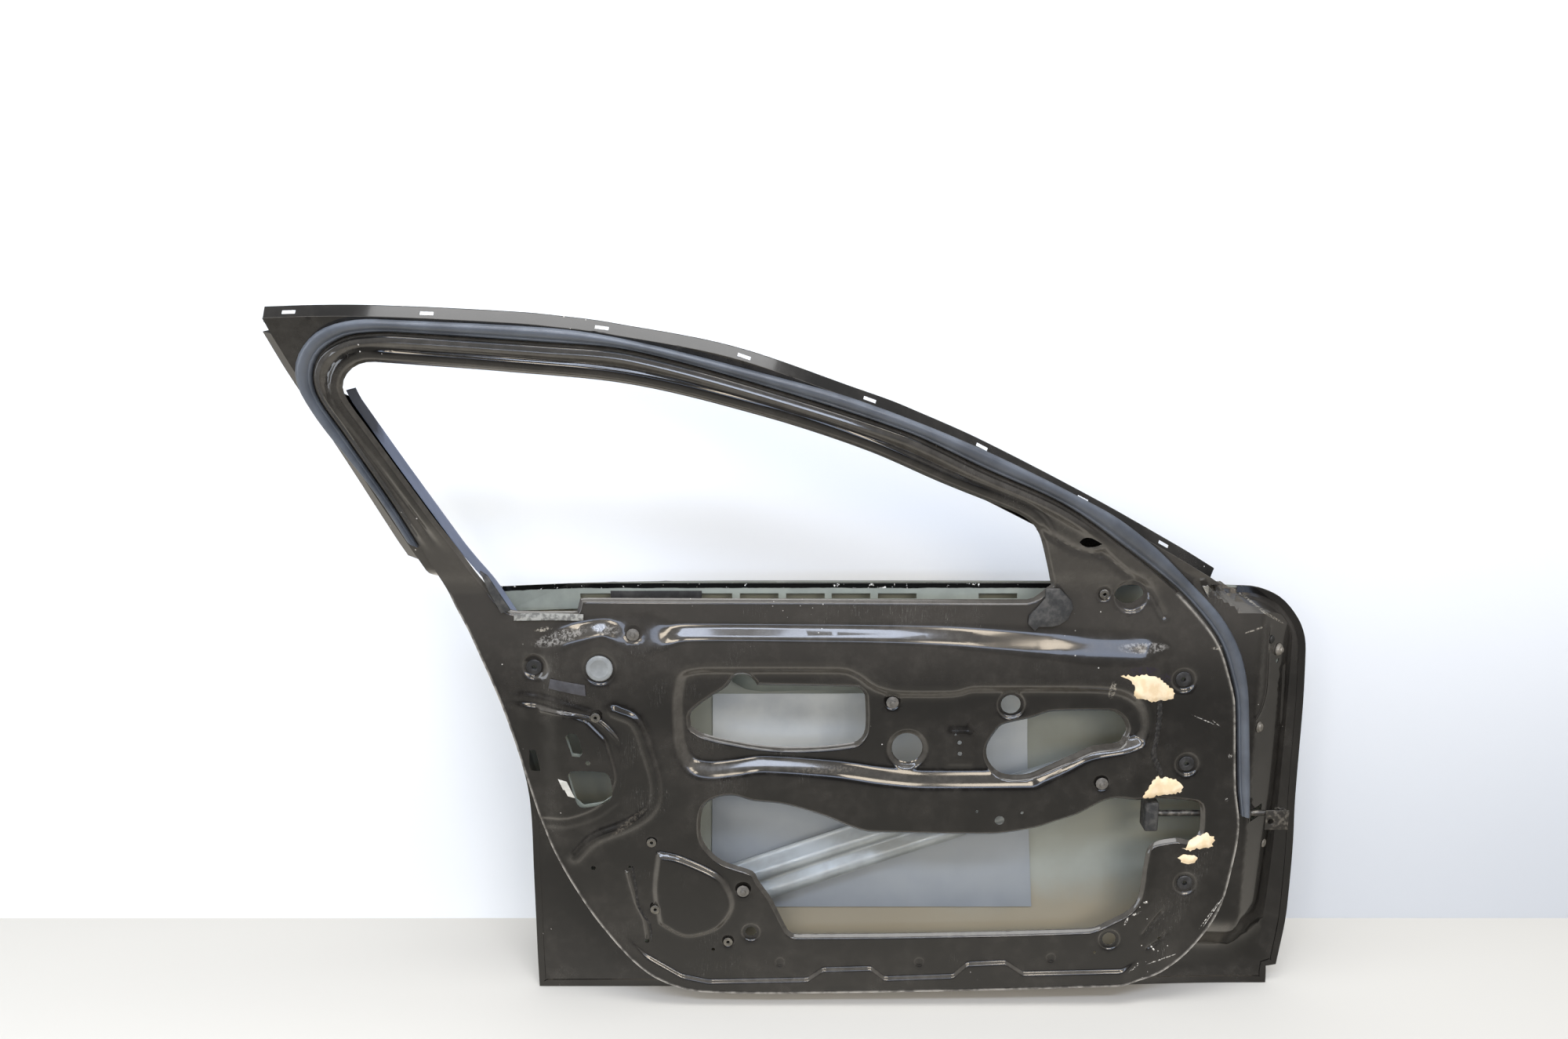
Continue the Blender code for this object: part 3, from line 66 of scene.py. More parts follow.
nodes = frame["nodes"]
bpy.ops.object.select_all(action="DESELECT")

MM = 0.001
HINGE_PAD = (706.0, 40.0, 500.0)

# Sheet metal, and the gaps in which one sheet lies on another
PANEL_GAUGE = 1.2
SKIN_GAUGE = 0.9
FRAME_SHEET_GAP = 0.9
OUTER_SHEET_GAP = 0.8
HEM_RETURN = 9.0
FLANGE_WIDTH = 10.0
FLANGE_GAP = 1.0

# Outer skin; where a form starts, the second number is the length over which it comes
HEM_DEPTH = 50.0
HEM_DEPTH_FRONT = 10.0
SKIN_CROWN = 60.0
CROWN_HEIGHT = 380.0
BELT_HEIGHT = 632.0
CROWN_LOSS_AT_BELT = 16.0
CROWN_MIDDLE = 190.0
CROWN_HALF_LENGTH = 590.0
CROWN_LOSS_AT_ENDS = 0.72
HEM_DEEPENS_FROM = (400.0, 300.0)

# Window frame
FRAME_START = 640.0
FRAME_LEAN = 0.36
SEAL_SEAT = 8.0
GLASS_CHANNEL_DEPTH = 43.0

# Pressed forms of the inner panel, positive outboard; a bend's radius is a share of its slope
PRESSED_BEND = 0.3
FRAME_BEND = 0.15
WALL_BEND = 0.2
UPPER_STEP = -12.0
UPPER_STEP_ENDS = (-357.0, -309.0, 500.0, 550.0)
UPPER_STEP_FADE = ((120.0, 330.0), (0.3, 1.0))
RING_DEPTH = 13.0
RING_EDGE = 22.0
RING_FOOT_EXTRA = 12.0
RING_FOOT_TOP = 430.0
FRAME_BEAD = 6.5
FRAME_BEAD_STARTS = (2.0, 7.0)
FRAME_BEAD_ENDS = (10.0, 9.0)
FRAME_STEP = 6.0
FRAME_STEP_WIDTHS = (21.0, 7.0)
FRAME_FORMS_FROM = (700.0, 60.0)
FRAME_LINES_FROM = 690.0
FACE_RIM = -1.4
FACE_RIM_WIDTH = 4.5
FACE_RIM_TOP = 600.0
# Width of the face edge painted light: partly rubbed wear, partly painted highlight
RUBBED_LIT_WIDTH = 3.6
LATCH_FIELD = -5.0
LATCH_FIELD_FROM = (-392.0, 34.0)
LATCH_FIELD_STEPS = ((0.4, -2.0, 7.0), (0.6, 14.0, 5.0))
SOFT_RIDGE_RISE = -5.0
SOFT_RIDGE_HALF = 14.0
CORNER_BOSS = -7.0
CORNER_BOSS_SLOPE = 12.0
SILL_STEP = -4.5
SILL_SLOPE = 6.0
SILL_ENDS = (-239.0, -200.0, 500.0, 530.0)
EMBOSS_RISE = -3.0
EMBOSS_SLOPE = 7.0
GROMMET_DISH = (3.5, 20.0, 6.0)
PLUG_DISH = (2.0, 26.0, 5.0)
DIMPLE_SLOPE = 4.5
LIP_DEPTH = 7.0
LIP_WIDTH = 5.0
STEEP_WALL = 8.0
STEEP_WALL_REAR = 5.0
SEAL_SEAT_SLOPE = 3.0
RIM_SLOPE = 4.0
RIM_TOP = 652.0
HINGE_BEADS_FROM = (640.0, 20.0)
FRAME_TAKES_OVER = (640.0, 34.0)
HINGE_WALL_START = 676.0
HINGE_WALL_SLOPE = 1.0
HINGE_WALL_DEPTH = 10.0
# Where the oblique wall takes over: from x and over how much, and the same for z
OBLIQUE_STARTS = ((560.0, 70.0, 30.0, 110.0), (470.0, 50.0, 430.0, 70.0))

# Window frame sheets
FRAME_GAUGE = 1.2
ROOF_FLANGE_DEPTH = 26.0
ROOF_FLANGE_HEIGHT = 12.0
FRAME_DEPTH = 40.0
FRAME_FACE = 66.0
PILLAR_STRIP_DEPTH = 43.0
CLIP_SLOT = (17.0, 60.0, 4.0)
CLIP_SLOTS = (-610, -440, -225, -48, 112, 262, 404, 524)

# Outlines, as they are seen from the trim side
SKIN_OUTLINE = [
    (-375, 0), (-377, 60), (-379, 180), (-380, 281), (-388, 347), (-418, 477), (-459, 577),
    (-484, 630), (-425, 633), (397, 632), (560, 630), (662, 626), (692, 624), (723, 611),
    (745, 588), (759, 562), (765, 532), (769, 440), (770, 300), (772, 221), (771, 152),
    (768, 96), (758, 29), (743, 26), (743, 0)]

FACE_EDGE = [
    (-462, 629), (-439, 577), (-402, 477), (-372, 374), (-348, 287), (-333, 248), (-297, 177),
    (-268, 129), (-232, 82), (-193, 49), (-153, 31), (-113, 24), (0, 22), (282, 27), (470, 33),
    (516, 36), (562, 52), (606, 93), (642, 155), (657, 231), (661, 290), (651, 354), (641, 474),
    (632, 510), (612, 563), (581, 605), (539, 648), (466, 707), (373, 773), (261, 826),
    (152, 879), (-31, 941), (-187, 985), (-292, 996), (-476, 1009), (-526, 1007), (-553, 999),
    (-577, 982), (-590, 955), (-587, 924), (-567, 881), (-516, 768)]

PANEL_LEFT = [
    (-372, 3), (-374, 60), (-376, 180), (-377, 281), (-385, 347), (-415, 477), (-456, 577),
    (-481, 630), (-484, 650), (-515, 719), (-565, 836), (-613, 955), (-634, 1010)]
PANEL_RIGHT = [
    (650, 624), (690, 620), (720, 607), (742, 585), (756, 560), (762, 530), (766, 440), (767, 300),
    (769, 221), (768, 152), (765, 98), (755, 32), (740, 29), (740, 3)]

SEAL_OUTER = [
    (676, 304), (673, 351), (662, 471), (655, 516), (640, 561), (611, 608), (566, 655), (503, 715),
    (428, 769), (259, 856), (100, 922), (-31, 961), (-180, 1000), (-290, 1018), (-501, 1029),
    (-540, 1026), (-574, 1014), (-600, 990), (-613, 962), (-611, 932), (-592, 886), (-546, 803),
    (-512, 724)]
SEAL_INNER = [
    (664, 304), (656, 354), (645, 474), (636, 512), (616, 566), (585, 609), (543, 652), (468, 711),
    (375, 777), (263, 830), (153, 883), (-30, 945), (-186, 989), (-292, 1000), (-476, 1013),
    (-528, 1011), (-555, 1002), (-580, 984), (-594, 955), (-591, 922), (-571, 879), (-520, 766),
    (-499, 712)]

WINDOW_OPENING = [
    (-395, 624), (-372, 613), (-290, 613), (-285, 632), (340, 630), (372, 652), (358, 699),
    (345, 734), (329, 754), (303, 769), (209, 809), (102, 858), (-31, 904), (-189, 945),
    (-344, 962), (-510, 975), (-530, 972), (-547, 960), (-556, 942), (-552, 922), (-534, 886),
    (-426, 672)]

UPPER_STEP_TOP = [
    (-357, 560), (-338, 582), (-305, 597), (-279, 601), (-214, 605), (-186, 605), (-159, 595),
    (219, 592), (362, 586), (461, 581), (520, 578), (544, 566)]
UPPER_STEP_FOOT = [
    (-357, 554), (-316, 562), (-281, 575), (-254, 583), (-242, 577), (-220, 560), (-199, 550),
    (-173, 562), (-136, 576), (0, 576), (197, 571), (362, 553), (440, 542), (495, 542),
    (527, 550), (544, 562)]

RING = [
    (-146, 533), (-111, 540), (81, 540), (110, 530), (135, 512), (167, 505), (238, 505),
    (268, 512), (421, 512), (477, 507), (512, 486), (526, 450), (518, 415), (487, 403),
    (442, 393), (411, 374), (379, 357), (358, 348), (204, 347), (136, 353), (68, 364), (-28, 372),
    (-68, 366), (-107, 362), (-140, 372), (-158, 403), (-162, 474), (-157, 515)]

UPPER_LEFT_OPENING = [
    (-82, 500), (-70, 516), (-58, 519), (-46, 514), (-38, 503), (105, 500), (115, 488), (116, 436),
    (100, 416), (32, 409), (-27, 411), (-84, 421), (-116, 430), (-133, 441), (-132, 462),
    (-106, 484)]
UPPER_RIGHT_OPENING = [
    (292, 411), (308, 439), (323, 446), (353, 453), (384, 463), (464, 464), (482, 455), (490, 439),
    (487, 427), (478, 417), (441, 411), (409, 396), (374, 379), (349, 369), (314, 370), (295, 387)]
LOWER_OPENING = [
    (-121, 296), (-115, 323), (-97, 336), (-72, 339), (-45, 331), (1, 325), (57, 307), (98, 289),
    (129, 281), (297, 278), (360, 287), (395, 299), (425, 310), (457, 329), (478, 335),
    (507, 332), (569, 328), (598, 324), (605, 315), (606, 278), (593, 263), (573, 267),
    (541, 261), (531, 251), (527, 223), (524, 184), (514, 159), (489, 141), (448, 123), (209, 116),
    (19, 114), (5, 122), (-18, 172), (-37, 202), (-46, 218), (-83, 232), (-102, 245), (-118, 268)]
LATCH_OPENING = [
    (-308, 374), (-301, 382), (-256, 380), (-247, 366), (-247, 340), (-261, 330), (-289, 325),
    (-298, 334)]
LATCH_SLOT = [(-310, 434), (-303, 440), (-293, 436), (-286, 410), (-291, 403), (-301, 404)]
LATCH_EDGE_WINDOW = [(-364, 409), (-355, 409), (-349, 377), (-366, 377)]
CHECK_ARM_HOLE = [(683, 287), (683, 305), (708, 305), (708, 287)]

LATCH_FIELD_EDGE = [
    (-420, 498), (-366, 494), (-318, 487), (-272, 473), (-238, 436), (-224, 373), (-236, 330),
    (-270, 305), (-318, 290), (-420, 284)]
SOFT_RIDGE = [
    (-241, 470), (-210, 453), (-193, 403), (-183, 354), (-193, 318), (-228, 293), (-274, 273),
    (-304, 243)]
CORNER_BOSS_EDGE = [
    (-183, 251), (-150, 243), (-98, 216), (-80, 190), (-76, 161), (-96, 130), (-125, 117),
    (-151, 116), (-183, 136), (-190, 190)]
SILL_LINE = [
    (-239, 122), (-205, 86), (-152, 52), (-113, 43), (35, 46), (58, 63), (129, 65), (150, 48),
    (252, 52), (272, 72), (329, 75), (356, 56), (503, 60), (530, 79)]

ROUND_HOLE = (177, 408)
ROUND_HOLE_R = 22.0
ROUND_RIM_R = 32.0
ROUND_RIM_DEPTH = 6.0
EMBOSS = (230, 275, 380, 441)

GROMMETS = [(-352, 533), (566, 513), (579, 385), (589, 197)]
GROMMET_R = 8.0
RIVET_NUTS = [(-266, 463), (-192, 268), (-189, 161), (-83, 105), (446, 640)]
RIVET_HOLE_R = 4.9
PLUG_PLACE = (-259, 534)
PLUG_HOLE_R = 16.0
OPEN_HOLES = [
    (-49, 120, 8.0), (482, 108, 10.0), (311, 303, 7.0), (323, 475, 14.0), (-278, 226, 3.5),
    (-203, 106, 3.5), (-279, 394, 3.5)]

TOP_EDGE = [
    (-641, 1042), (-579, 1044), (-515, 1044), (-431, 1041), (-339, 1036), (-292, 1032), (-216, 1022),
    (-62, 991), (98, 934), (153, 913), (262, 863), (416, 781), (544, 707), (600, 672)]
PILLAR_EDGE = [(-503, 692), (-515, 719), (-565, 836), (-613, 955), (-634, 1010)]
PILLAR_STRIP = [(-521, 694), (-533, 721), (-580, 838), (-629, 955), (-650, 1012)]
CHANNEL_LINE = [
    (-381, 602), (-404, 640), (-418, 664), (-434, 690), (-447, 713), (-505, 829), (-549, 920),
    (-554, 936)]

FELT_PATCHES = [
    [(474, 523), (492, 523), (509, 525), (525, 521), (537, 511), (547, 503), (554, 493), (552, 486),
     (538, 483), (517, 483), (510, 488), (497, 488), (492, 500), (495, 507), (485, 517)],
    [(515, 338), (523, 350), (535, 367), (552, 366), (560, 361), (573, 356), (574, 343), (560, 339),
     (531, 335)],
    [(582, 254), (594, 263), (607, 273), (615, 278), (628, 270), (626, 257), (612, 254), (593, 250)],
    [(578, 238), (583, 244), (596, 244), (605, 239), (600, 232), (591, 228), (581, 232)]]

# Small pressed details: line, half width, height (negative is towards the cabin)
BEADS = [
    ([(-229, 220), (-217, 168), (-207, 144), (-203, 112)], 4.0, -2.2),
    ([(-358, 253), (-359, 164), (-357, 99), (-348, 68), (-322, 38), (-282, 16), (-257, 14)], 6.0, -2.5),
    ([(434, 705), (471, 673), (505, 650), (525, 621), (532, 608)], 9.0, 4.0),
    ([(345, 742), (371, 725), (401, 708), (434, 700)], 9.0, 3.5),
    ([(688, 583), (693, 493), (687, 465), (676, 451)], 4.0, -2.0),
    ([(730, 510), (735, 422)], 5.0, 2.0),
    ([(-345, 470), (-300, 466), (-262, 455), (-236, 428)], 4.0, -1.6),
    ([(534, 115), (546, 134), (559, 152)], 5.0, 2.6),
    ([(541, 92), (556, 104), (566, 118)], 4.0, 2.0),
]
DIMPLES = [
    (-6, 71, 9.0, 2.0), (201, 71, 9.0, 2.0), (397, 78, 9.0, 2.0), (446, 640, 12.0, 2.2),
    (-83, 105, 11.0, 2.2), (323, 475, 22.0, 3.0), (484, 637, 26.0, 2.5), (-49, 120, 16.0, 2.6),
    (482, 108, 18.0, 2.6), (-189, 161, 9.0, 1.6), (-192, 268, 9.0, 1.6), (-266, 463, 9.0, 1.6),
    (154, 480, 14.0, 1.8), (455, 361, 14.0, 1.8), (-60, 190, 14.0, 1.8), (-211, 583, 13.0, 1.5)]
SMALL_HOLES = [
    (-105, 92, 2.6), (-225, 228, 2.2), (557, 108, 2.6), (461, 87, 2.4), (278, 317, 2.4),
    (343, 315, 2.4), (251, 419, 3.2), (252, 402, 3.2), (245, 431, 1.6), (715, 525, 3.4)]
MIRROR_LEAF_HOLE = [(401, 721), (406, 727), (415, 728), (425, 723), (433, 718), (424, 713), (410, 713)]
EYE_HOLE = [
    (460, 638), (467, 649), (478, 653), (491, 652), (500, 645), (501, 637), (491, 629), (481, 625),
    (472, 627), (464, 632)]

# Sealant beads: piece, line, width and height
SEALANT_LINES = [
    ("upper_sealant_bead", [(533, 484), (534, 455), (532, 426), (529, 402), (536, 384), (543, 370)],
     9.0, 2.2),
    ("lower_sealant_bead", [(-221, 228), (-217, 196), (-214, 166), (-206, 148), (-198, 132), (-196, 106)],
     3.6, 1.4)]
SEAL_STATIONS = 150
# The seal's section: share of its width from outside to inside, and height over its seat
SEAL_SECTION = [
    (0.0, 0.8), (0.01, 6.0), (0.07, 9.2), (0.16, 11.6), (0.28, 12.9), (0.42, 13.2), (0.56, 12.6),
    (0.68, 11.0), (0.76, 8.8), (0.80, 8.0), (0.85, 8.8), (0.92, 8.4), (0.98, 6.2), (1.0, 0.8)]

# Paint: the dust's colour, how every share fades, and the depth of a mark, which goes through all
WORKSHOP_DUST = "8C8780"
SOFT = {"interpolation_type": "SMOOTHSTEP"}
THROUGH_ALL = 1000.0
# Scratches: turn in radians, and spacing in mm
SCRATCH_LINES = ((0.5, 34.0), (-0.9, 46.0), (1.9, 40.0))
# Marks on the paint, and painted reflections: colour, strength, and each mark's x, z, half length, half width
# and turn
MARKS_AND_PAINTED_REFLECTIONS = [
    ("E4E1DA", 0.9, [(520, 150, 9, 2.2, 20), (505, 138, 8, 2.0, 70), (533, 168, 5, 3, 0),
                     (598, 453, 20, 0.8, -24), (616, 448, 9, 0.8, -40), (634, 152, 34, 0.9, 62),
                     (628, 146, 30, 0.9, 60), (563, 74, 26, 1.1, 22), (520, 60, 12, 1.5, 35),
                     (548, 92, 8, 1.4, -50), (640, 398, 3, 4, 0), (640, 330, 3, 3, 0)]),
    ("C9C2B4", 0.55, [(464, 500, 6, 17, 0), (690, 600, 46, 2.0, -33), (664, 585, 20, 1.6, 20),
                      (612, 560, 12, 3, 0), (-337, 588, 14, 4, 10)]),
    # Grey patches on the upper step's slopes are painted reflection
    ("94928E", 0.75, [(-314, 578, 46, 11, 18), (-250, 590, 24, 8, -8), (505, 562, 40, 9, 0)]),
    ("2A2433", 0.85, [(505, 529, 26, 9, 0), (540, 517, 12, 8, -30)]),
    ("8E8577", 0.20, [(-225, 300, 40, 5, 40), (60, 380, 60, 6, 0),
                      (540, 300, 30, 8, 10), (-60, 260, 20, 6, -30)]),
]

# The step in edit mode that makes all faces of a mesh agree on which side is out
OUTWARD = (bpy.ops.mesh.normals_make_consistent, {"inside": False})

# Where the floor lies and the backdrop stands, in metres
FLOOR = -0.5012
WALL = 0.207


def at_layout(x, y, z):
    """A layout place in the model's own metres."""
    return ((x - HINGE_PAD[0]) * MM, (y - HINGE_PAD[1]) * MM, (z - HINGE_PAD[2]) * MM)


def smooth(t):
    """A soft step from 0 to 1."""
    t = np.clip(t, 0.0, 1.0)
    return t * t * (3.0 - 2.0 * t)


def ramp(value, start, over):
    """A soft step from 0 to 1 that begins at start."""
    return smooth((value - start) / over)


def bend(t, radius):
    """A straight ramp from 0 to 1 with a rounded bend at each end, as a die leaves it."""
    def area(u):
        return np.where(u < 0.0, 0.0, np.where(u < 1.0, u * u / 2.0, u - 0.5))
    return (area(t + radius) - area(t - radius)) / (2.0 * radius)


def drawn(points, closed=True, step=11.0, corner=48.0):
    """A line rounded through its points, with its sharp corners kept."""
    line = np.array(points, dtype=float)
    count = len(line)
    ahead = np.roll(line, -1, axis=0) - line
    length = np.hypot(*ahead.T)
    unit = ahead / np.maximum(length, 1e-9)[:, None]

    def tangent(i, own):
        inner = closed or 0 < i < count - 1
        if not inner:
            return own
        before, after = unit[i - 1], unit[i]
        if float(before @ after) < math.cos(math.radians(corner)):
            return own
        lean = before * length[i - 1] ** 2 + after * length[i] ** 2
        return lean / np.hypot(*lean)

    made = []
    for i in range(count if closed else count - 1):
        j = (i + 1) % count
        pull_a, pull_b = tangent(i, unit[i]) * length[i], tangent(j, unit[i]) * length[i]
        pieces = max(1, int(math.ceil(length[i] / step)))
        for k in range(pieces):
            t = k / pieces
            made.append(tuple(
                line[i] * (2 * t ** 3 - 3 * t ** 2 + 1) + pull_a * (t ** 3 - 2 * t ** 2 + t)
                + line[j] * (3 * t ** 2 - 2 * t ** 3) + pull_b * (t ** 3 - t ** 2)))
    if not closed:
        made.append(tuple(line[-1]))
    return made


def segments(points, closed):
    """Where each stretch of a line starts and ends."""
    line = np.array(points, dtype=float)
    ends = np.roll(line, -1, axis=0) if closed else line[1:]
    starts = line if closed else line[:-1]
    return starts, ends


def distance(x, z, points, closed=True):
    """Shortest distance from each (x, z) to a line."""
    best = np.full(x.shape, 1e9)
    for (ax, az), (bx, bz) in zip(*segments(points, closed)):
        dx, dz = bx - ax, bz - az
        t = np.clip(((x - ax) * dx + (z - az) * dz) / (dx * dx + dz * dz), 0.0, 1.0)
        best = np.minimum(best, (x - ax - t * dx) ** 2 + (z - az - t * dz) ** 2)
    return np.sqrt(best)


def inside(x, z, points):
    """True where (x, z) lies inside a closed outline."""
    within = np.zeros(x.shape, dtype=bool)
    for (ax, az), (bx, bz) in zip(*segments(points, True)):
        if az != bz:
            within ^= ((az > z) != (bz > z)) & (x < ax + (z - az) * (bx - ax) / (bz - az))
    return within


def depth_inside(x, z, points):
    """Distance to an outline, positive inside and negative outside."""
    gap = distance(x, z, points)
    return np.where(inside(x, z, points), gap, -gap)


def offset_line(points, closed, gap):
    """The line moved sideways, to its left for a positive gap."""
    line = np.array(points, dtype=float)
    count = len(line)
    moved = []
    for i in range(count):
        before = line[i - 1] if closed or i > 0 else line[i]
        after = line[(i + 1) % count] if closed or i < count - 1 else line[i]
        along = (after - before) / max(float(np.hypot(*(after - before))), 1e-9)
        moved.append((line[i][0] - along[1] * gap, line[i][1] + along[0] * gap))
    return moved


def circle(cx, cz, radius, count=24):
    turn = 2.0 * math.pi / count
    return [(cx + radius * math.cos(i * turn), cz + radius * math.sin(i * turn)) for i in range(count)]


face_edge = drawn(FACE_EDGE)
top_edge = drawn(TOP_EDGE, False)
roof_line = offset_line(top_edge, False, -ROOF_FLANGE_HEIGHT)
panel_outline = drawn(PANEL_LEFT, False) + roof_line + drawn(PANEL_RIGHT, False)
skin_outline = drawn(SKIN_OUTLINE)
ring = drawn(RING)
window_opening = drawn(WINDOW_OPENING)
access_openings = [
    drawn(line, True, 8.0) for line in (UPPER_LEFT_OPENING, UPPER_RIGHT_OPENING, LOWER_OPENING)]
latch_field = drawn(LATCH_FIELD_EDGE, True, 11.0, 30.0)
soft_ridge = drawn(SOFT_RIDGE, False)
corner_boss = drawn(CORNER_BOSS_EDGE)
step_top = drawn(UPPER_STEP_TOP, False)
step_foot = drawn(UPPER_STEP_FOOT, False)
bead_lines = [(drawn(line, False, 8.0), half, rise) for line, half, rise in BEADS]


def skin_y(x, z):
    """Inner surface of the outer skin: a barrel that flattens towards both ends."""
    below = 1.0 - ((z - CROWN_HEIGHT) / CROWN_HEIGHT) ** 2
    span = BELT_HEIGHT - CROWN_HEIGHT
    above = 1.0 - CROWN_LOSS_AT_BELT / SKIN_CROWN * ((z - CROWN_HEIGHT) / span) ** 2
    crown = SKIN_CROWN * np.where(z < CROWN_HEIGHT, below, above)
    along_it = np.clip(np.abs((x - CROWN_MIDDLE) / CROWN_HALF_LENGTH), 0.0, 1.0)
    ends = 1.0 - CROWN_LOSS_AT_ENDS * along_it ** 4
    return HEM_DEPTH + HEM_DEPTH_FRONT * ramp(x, *HEM_DEEPENS_FROM) + crown * ends


def frame_base(z):
    """The window frame leans inboard above the belt."""
    rise = np.maximum(z - FRAME_START, 0.0)
    return -FRAME_LEAN * rise * smooth(rise / 60.0 + 0.4)


def line_height(x, line):
    """The height of a line that runs from left to right."""
    return np.interp(x, *np.array(line).T)


def dish(x, z, centre, depth, radius, slope):
    """A round dish: how deep, out to which radius, and how wide its slope is."""
    return depth * smooth((radius - np.hypot(x - centre[0], z - centre[1])) / slope)


def ridge(x, z, line, half, rise):
    """A rounded ridge along an open line."""
    return rise * smooth(1.0 - distance(x, z, line, False) / half)


def lip(away):
    """The folded lip of an opening, by the distance from its edge."""
    return LIP_DEPTH * bend(1.0 - away / LIP_WIDTH, PRESSED_BEND)


def face_y(x, z):
    """Pressed forms of the trim face."""
    top, foot = line_height(x, step_top), line_height(x, step_foot)
    ends = smooth(np.interp(x, UPPER_STEP_ENDS, (0.0, 1.0, 1.0, 0.0)))
    fade = np.interp(z, *UPPER_STEP_FADE)
    y = UPPER_STEP * ends * fade * bend((top - z) / (top - foot), PRESSED_BEND)
    ring_edge = RING_EDGE + RING_FOOT_EXTRA * smooth((RING_FOOT_TOP - z) / 60.0)
    y = y + RING_DEPTH * smooth(depth_inside(x, z, ring) / ring_edge)
    field = depth_inside(x, z, latch_field)
    shelf = sum(share * bend((field - start) / width, PRESSED_BEND)
                for share, start, width in LATCH_FIELD_STEPS)
    y = y + LATCH_FIELD * shelf * ramp(x, *LATCH_FIELD_FROM)
    y = y + ridge(x, z, soft_ridge, SOFT_RIDGE_HALF, SOFT_RIDGE_RISE)
    y = y + CORNER_BOSS * smooth(depth_inside(x, z, corner_boss) / CORNER_BOSS_SLOPE + 0.4)
    sill_ends = np.interp(x, SILL_ENDS, (0.0, 1.0, 1.0, 0.0))
    y = y + SILL_STEP * sill_ends * bend((line_height(x, SILL_LINE) - z) / SILL_SLOPE, PRESSED_BEND)
    y = y + dish(x, z, ROUND_HOLE, ROUND_RIM_DEPTH, ROUND_RIM_R, ROUND_RIM_R - ROUND_HOLE_R)
    for place in GROMMETS:
        y = y + dish(x, z, place, *GROMMET_DISH)
    y = y + dish(x, z, PLUG_PLACE, *PLUG_DISH)
    x0, x1, z0, z1 = EMBOSS
    square = np.minimum(np.minimum(x - x0, x1 - x), np.minimum(z - z0, z1 - z))
    y = y + EMBOSS_RISE * smooth(square / EMBOSS_SLOPE)
    for line, half, rise in bead_lines:
        y = y + ridge(x, z, line, half, rise)
    for dx, dz, radius, rise in DIMPLES:
        y = y + dish(x, z, (dx, dz), rise, radius, DIMPLE_SLOPE)
    for opening in access_openings:
        y = y + lip(distance(x, z, opening))
    sight = distance(x, z, window_opening)
    y = y + lip(sight)
    edge = distance(x, z, face_edge)
    y = y + FACE_RIM * smooth(1.0 - edge / FACE_RIM_WIDTH) * smooth((FACE_RIM_TOP - z) / 60.0)
    # The frame's bead runs along its outer edge, and its step along the window
    rise, fall = (bend((edge - start) / width, FRAME_BEND)
                  for start, width in (FRAME_BEAD_STARTS, FRAME_BEAD_ENDS))
    step_from, step_width = FRAME_STEP_WIDTHS
    step = bend((step_from - sight) / step_width, FRAME_BEND)
    y = y - ramp(z, *FRAME_FORMS_FROM) * (FRAME_BEAD * (rise - fall) + FRAME_STEP * step)
    return y + frame_base(z)


def steep_wall_width(x, z):
    """The steep wall round the face is narrower along the latch edge."""
    return np.where(x > 0, STEEP_WALL, np.interp(z, [300.0, 420.0], [STEEP_WALL, STEEP_WALL_REAR]))


def panel_y(x, z):
    """Inboard surface of the inner panel over its whole outline."""
    out = np.maximum(-depth_inside(x, z, face_edge), 0.0)
    flange = skin_y(x, z) - PANEL_GAUGE - FLANGE_GAP
    seat = SEAL_SEAT * smooth(out / SEAL_SEAT_SLOPE)
    upper = frame_base(z) + seat
    steep = flange * bend(out / steep_wall_width(x, z), WALL_BEND)
    wall = HINGE_WALL_DEPTH + HINGE_WALL_SLOPE * (x - HINGE_WALL_START)
    oblique = np.minimum(np.maximum(seat, wall), flange)
    front = 0.0
    for start, over, low_end, up in OBLIQUE_STARTS:
        front = np.maximum(front, ramp(x, start, over) * ramp(z, low_end, up))
    low = steep * (1.0 - front) + oblique * front
    for line, half, rise in bead_lines:
        low = low + ridge(x, z, line, half, rise) * ramp(x, *HINGE_BEADS_FROM)
    rim = depth_inside(x, z, panel_outline)
    near_rim = smooth((FLANGE_WIDTH + RIM_SLOPE - rim) / RIM_SLOPE) * smooth((RIM_TOP - z) / 22.0)
    near_rim = near_rim * smooth(out / steep_wall_width(x, z))
    low = low + (flange - low) * near_rim
    up = ramp(z, *FRAME_TAKES_OVER)
    return np.where(out > 0.05, low * (1.0 - up) + upper * up, face_y(x, z))


def divided(points, closed, step):
    """The line with its long stretches divided evenly."""
    made = []
    for a, b in zip(*segments(points, closed)):
        count = max(1, int(round(np.hypot(*(b - a)) / step)))
        made.extend(tuple(a + (b - a) * i / count) for i in range(count))
    if not closed:
        made.append(tuple(np.array(points[-1], dtype=float)))
    return made


def search_tree(points):
    """Finds the nearest of flat places."""
    tree = KDTree(len(points))
    for i, (x, z) in enumerate(points):
        tree.insert((x, z, 0.0), i)
    tree.balance()
    return tree


def on_sheet(x, z, outline, holes):
    """True where (x, z) lies inside the outline and in no hole."""
    keep = inside(x, z, outline)
    for hole in holes:
        keep &= ~inside(x, z, hole)
    return keep


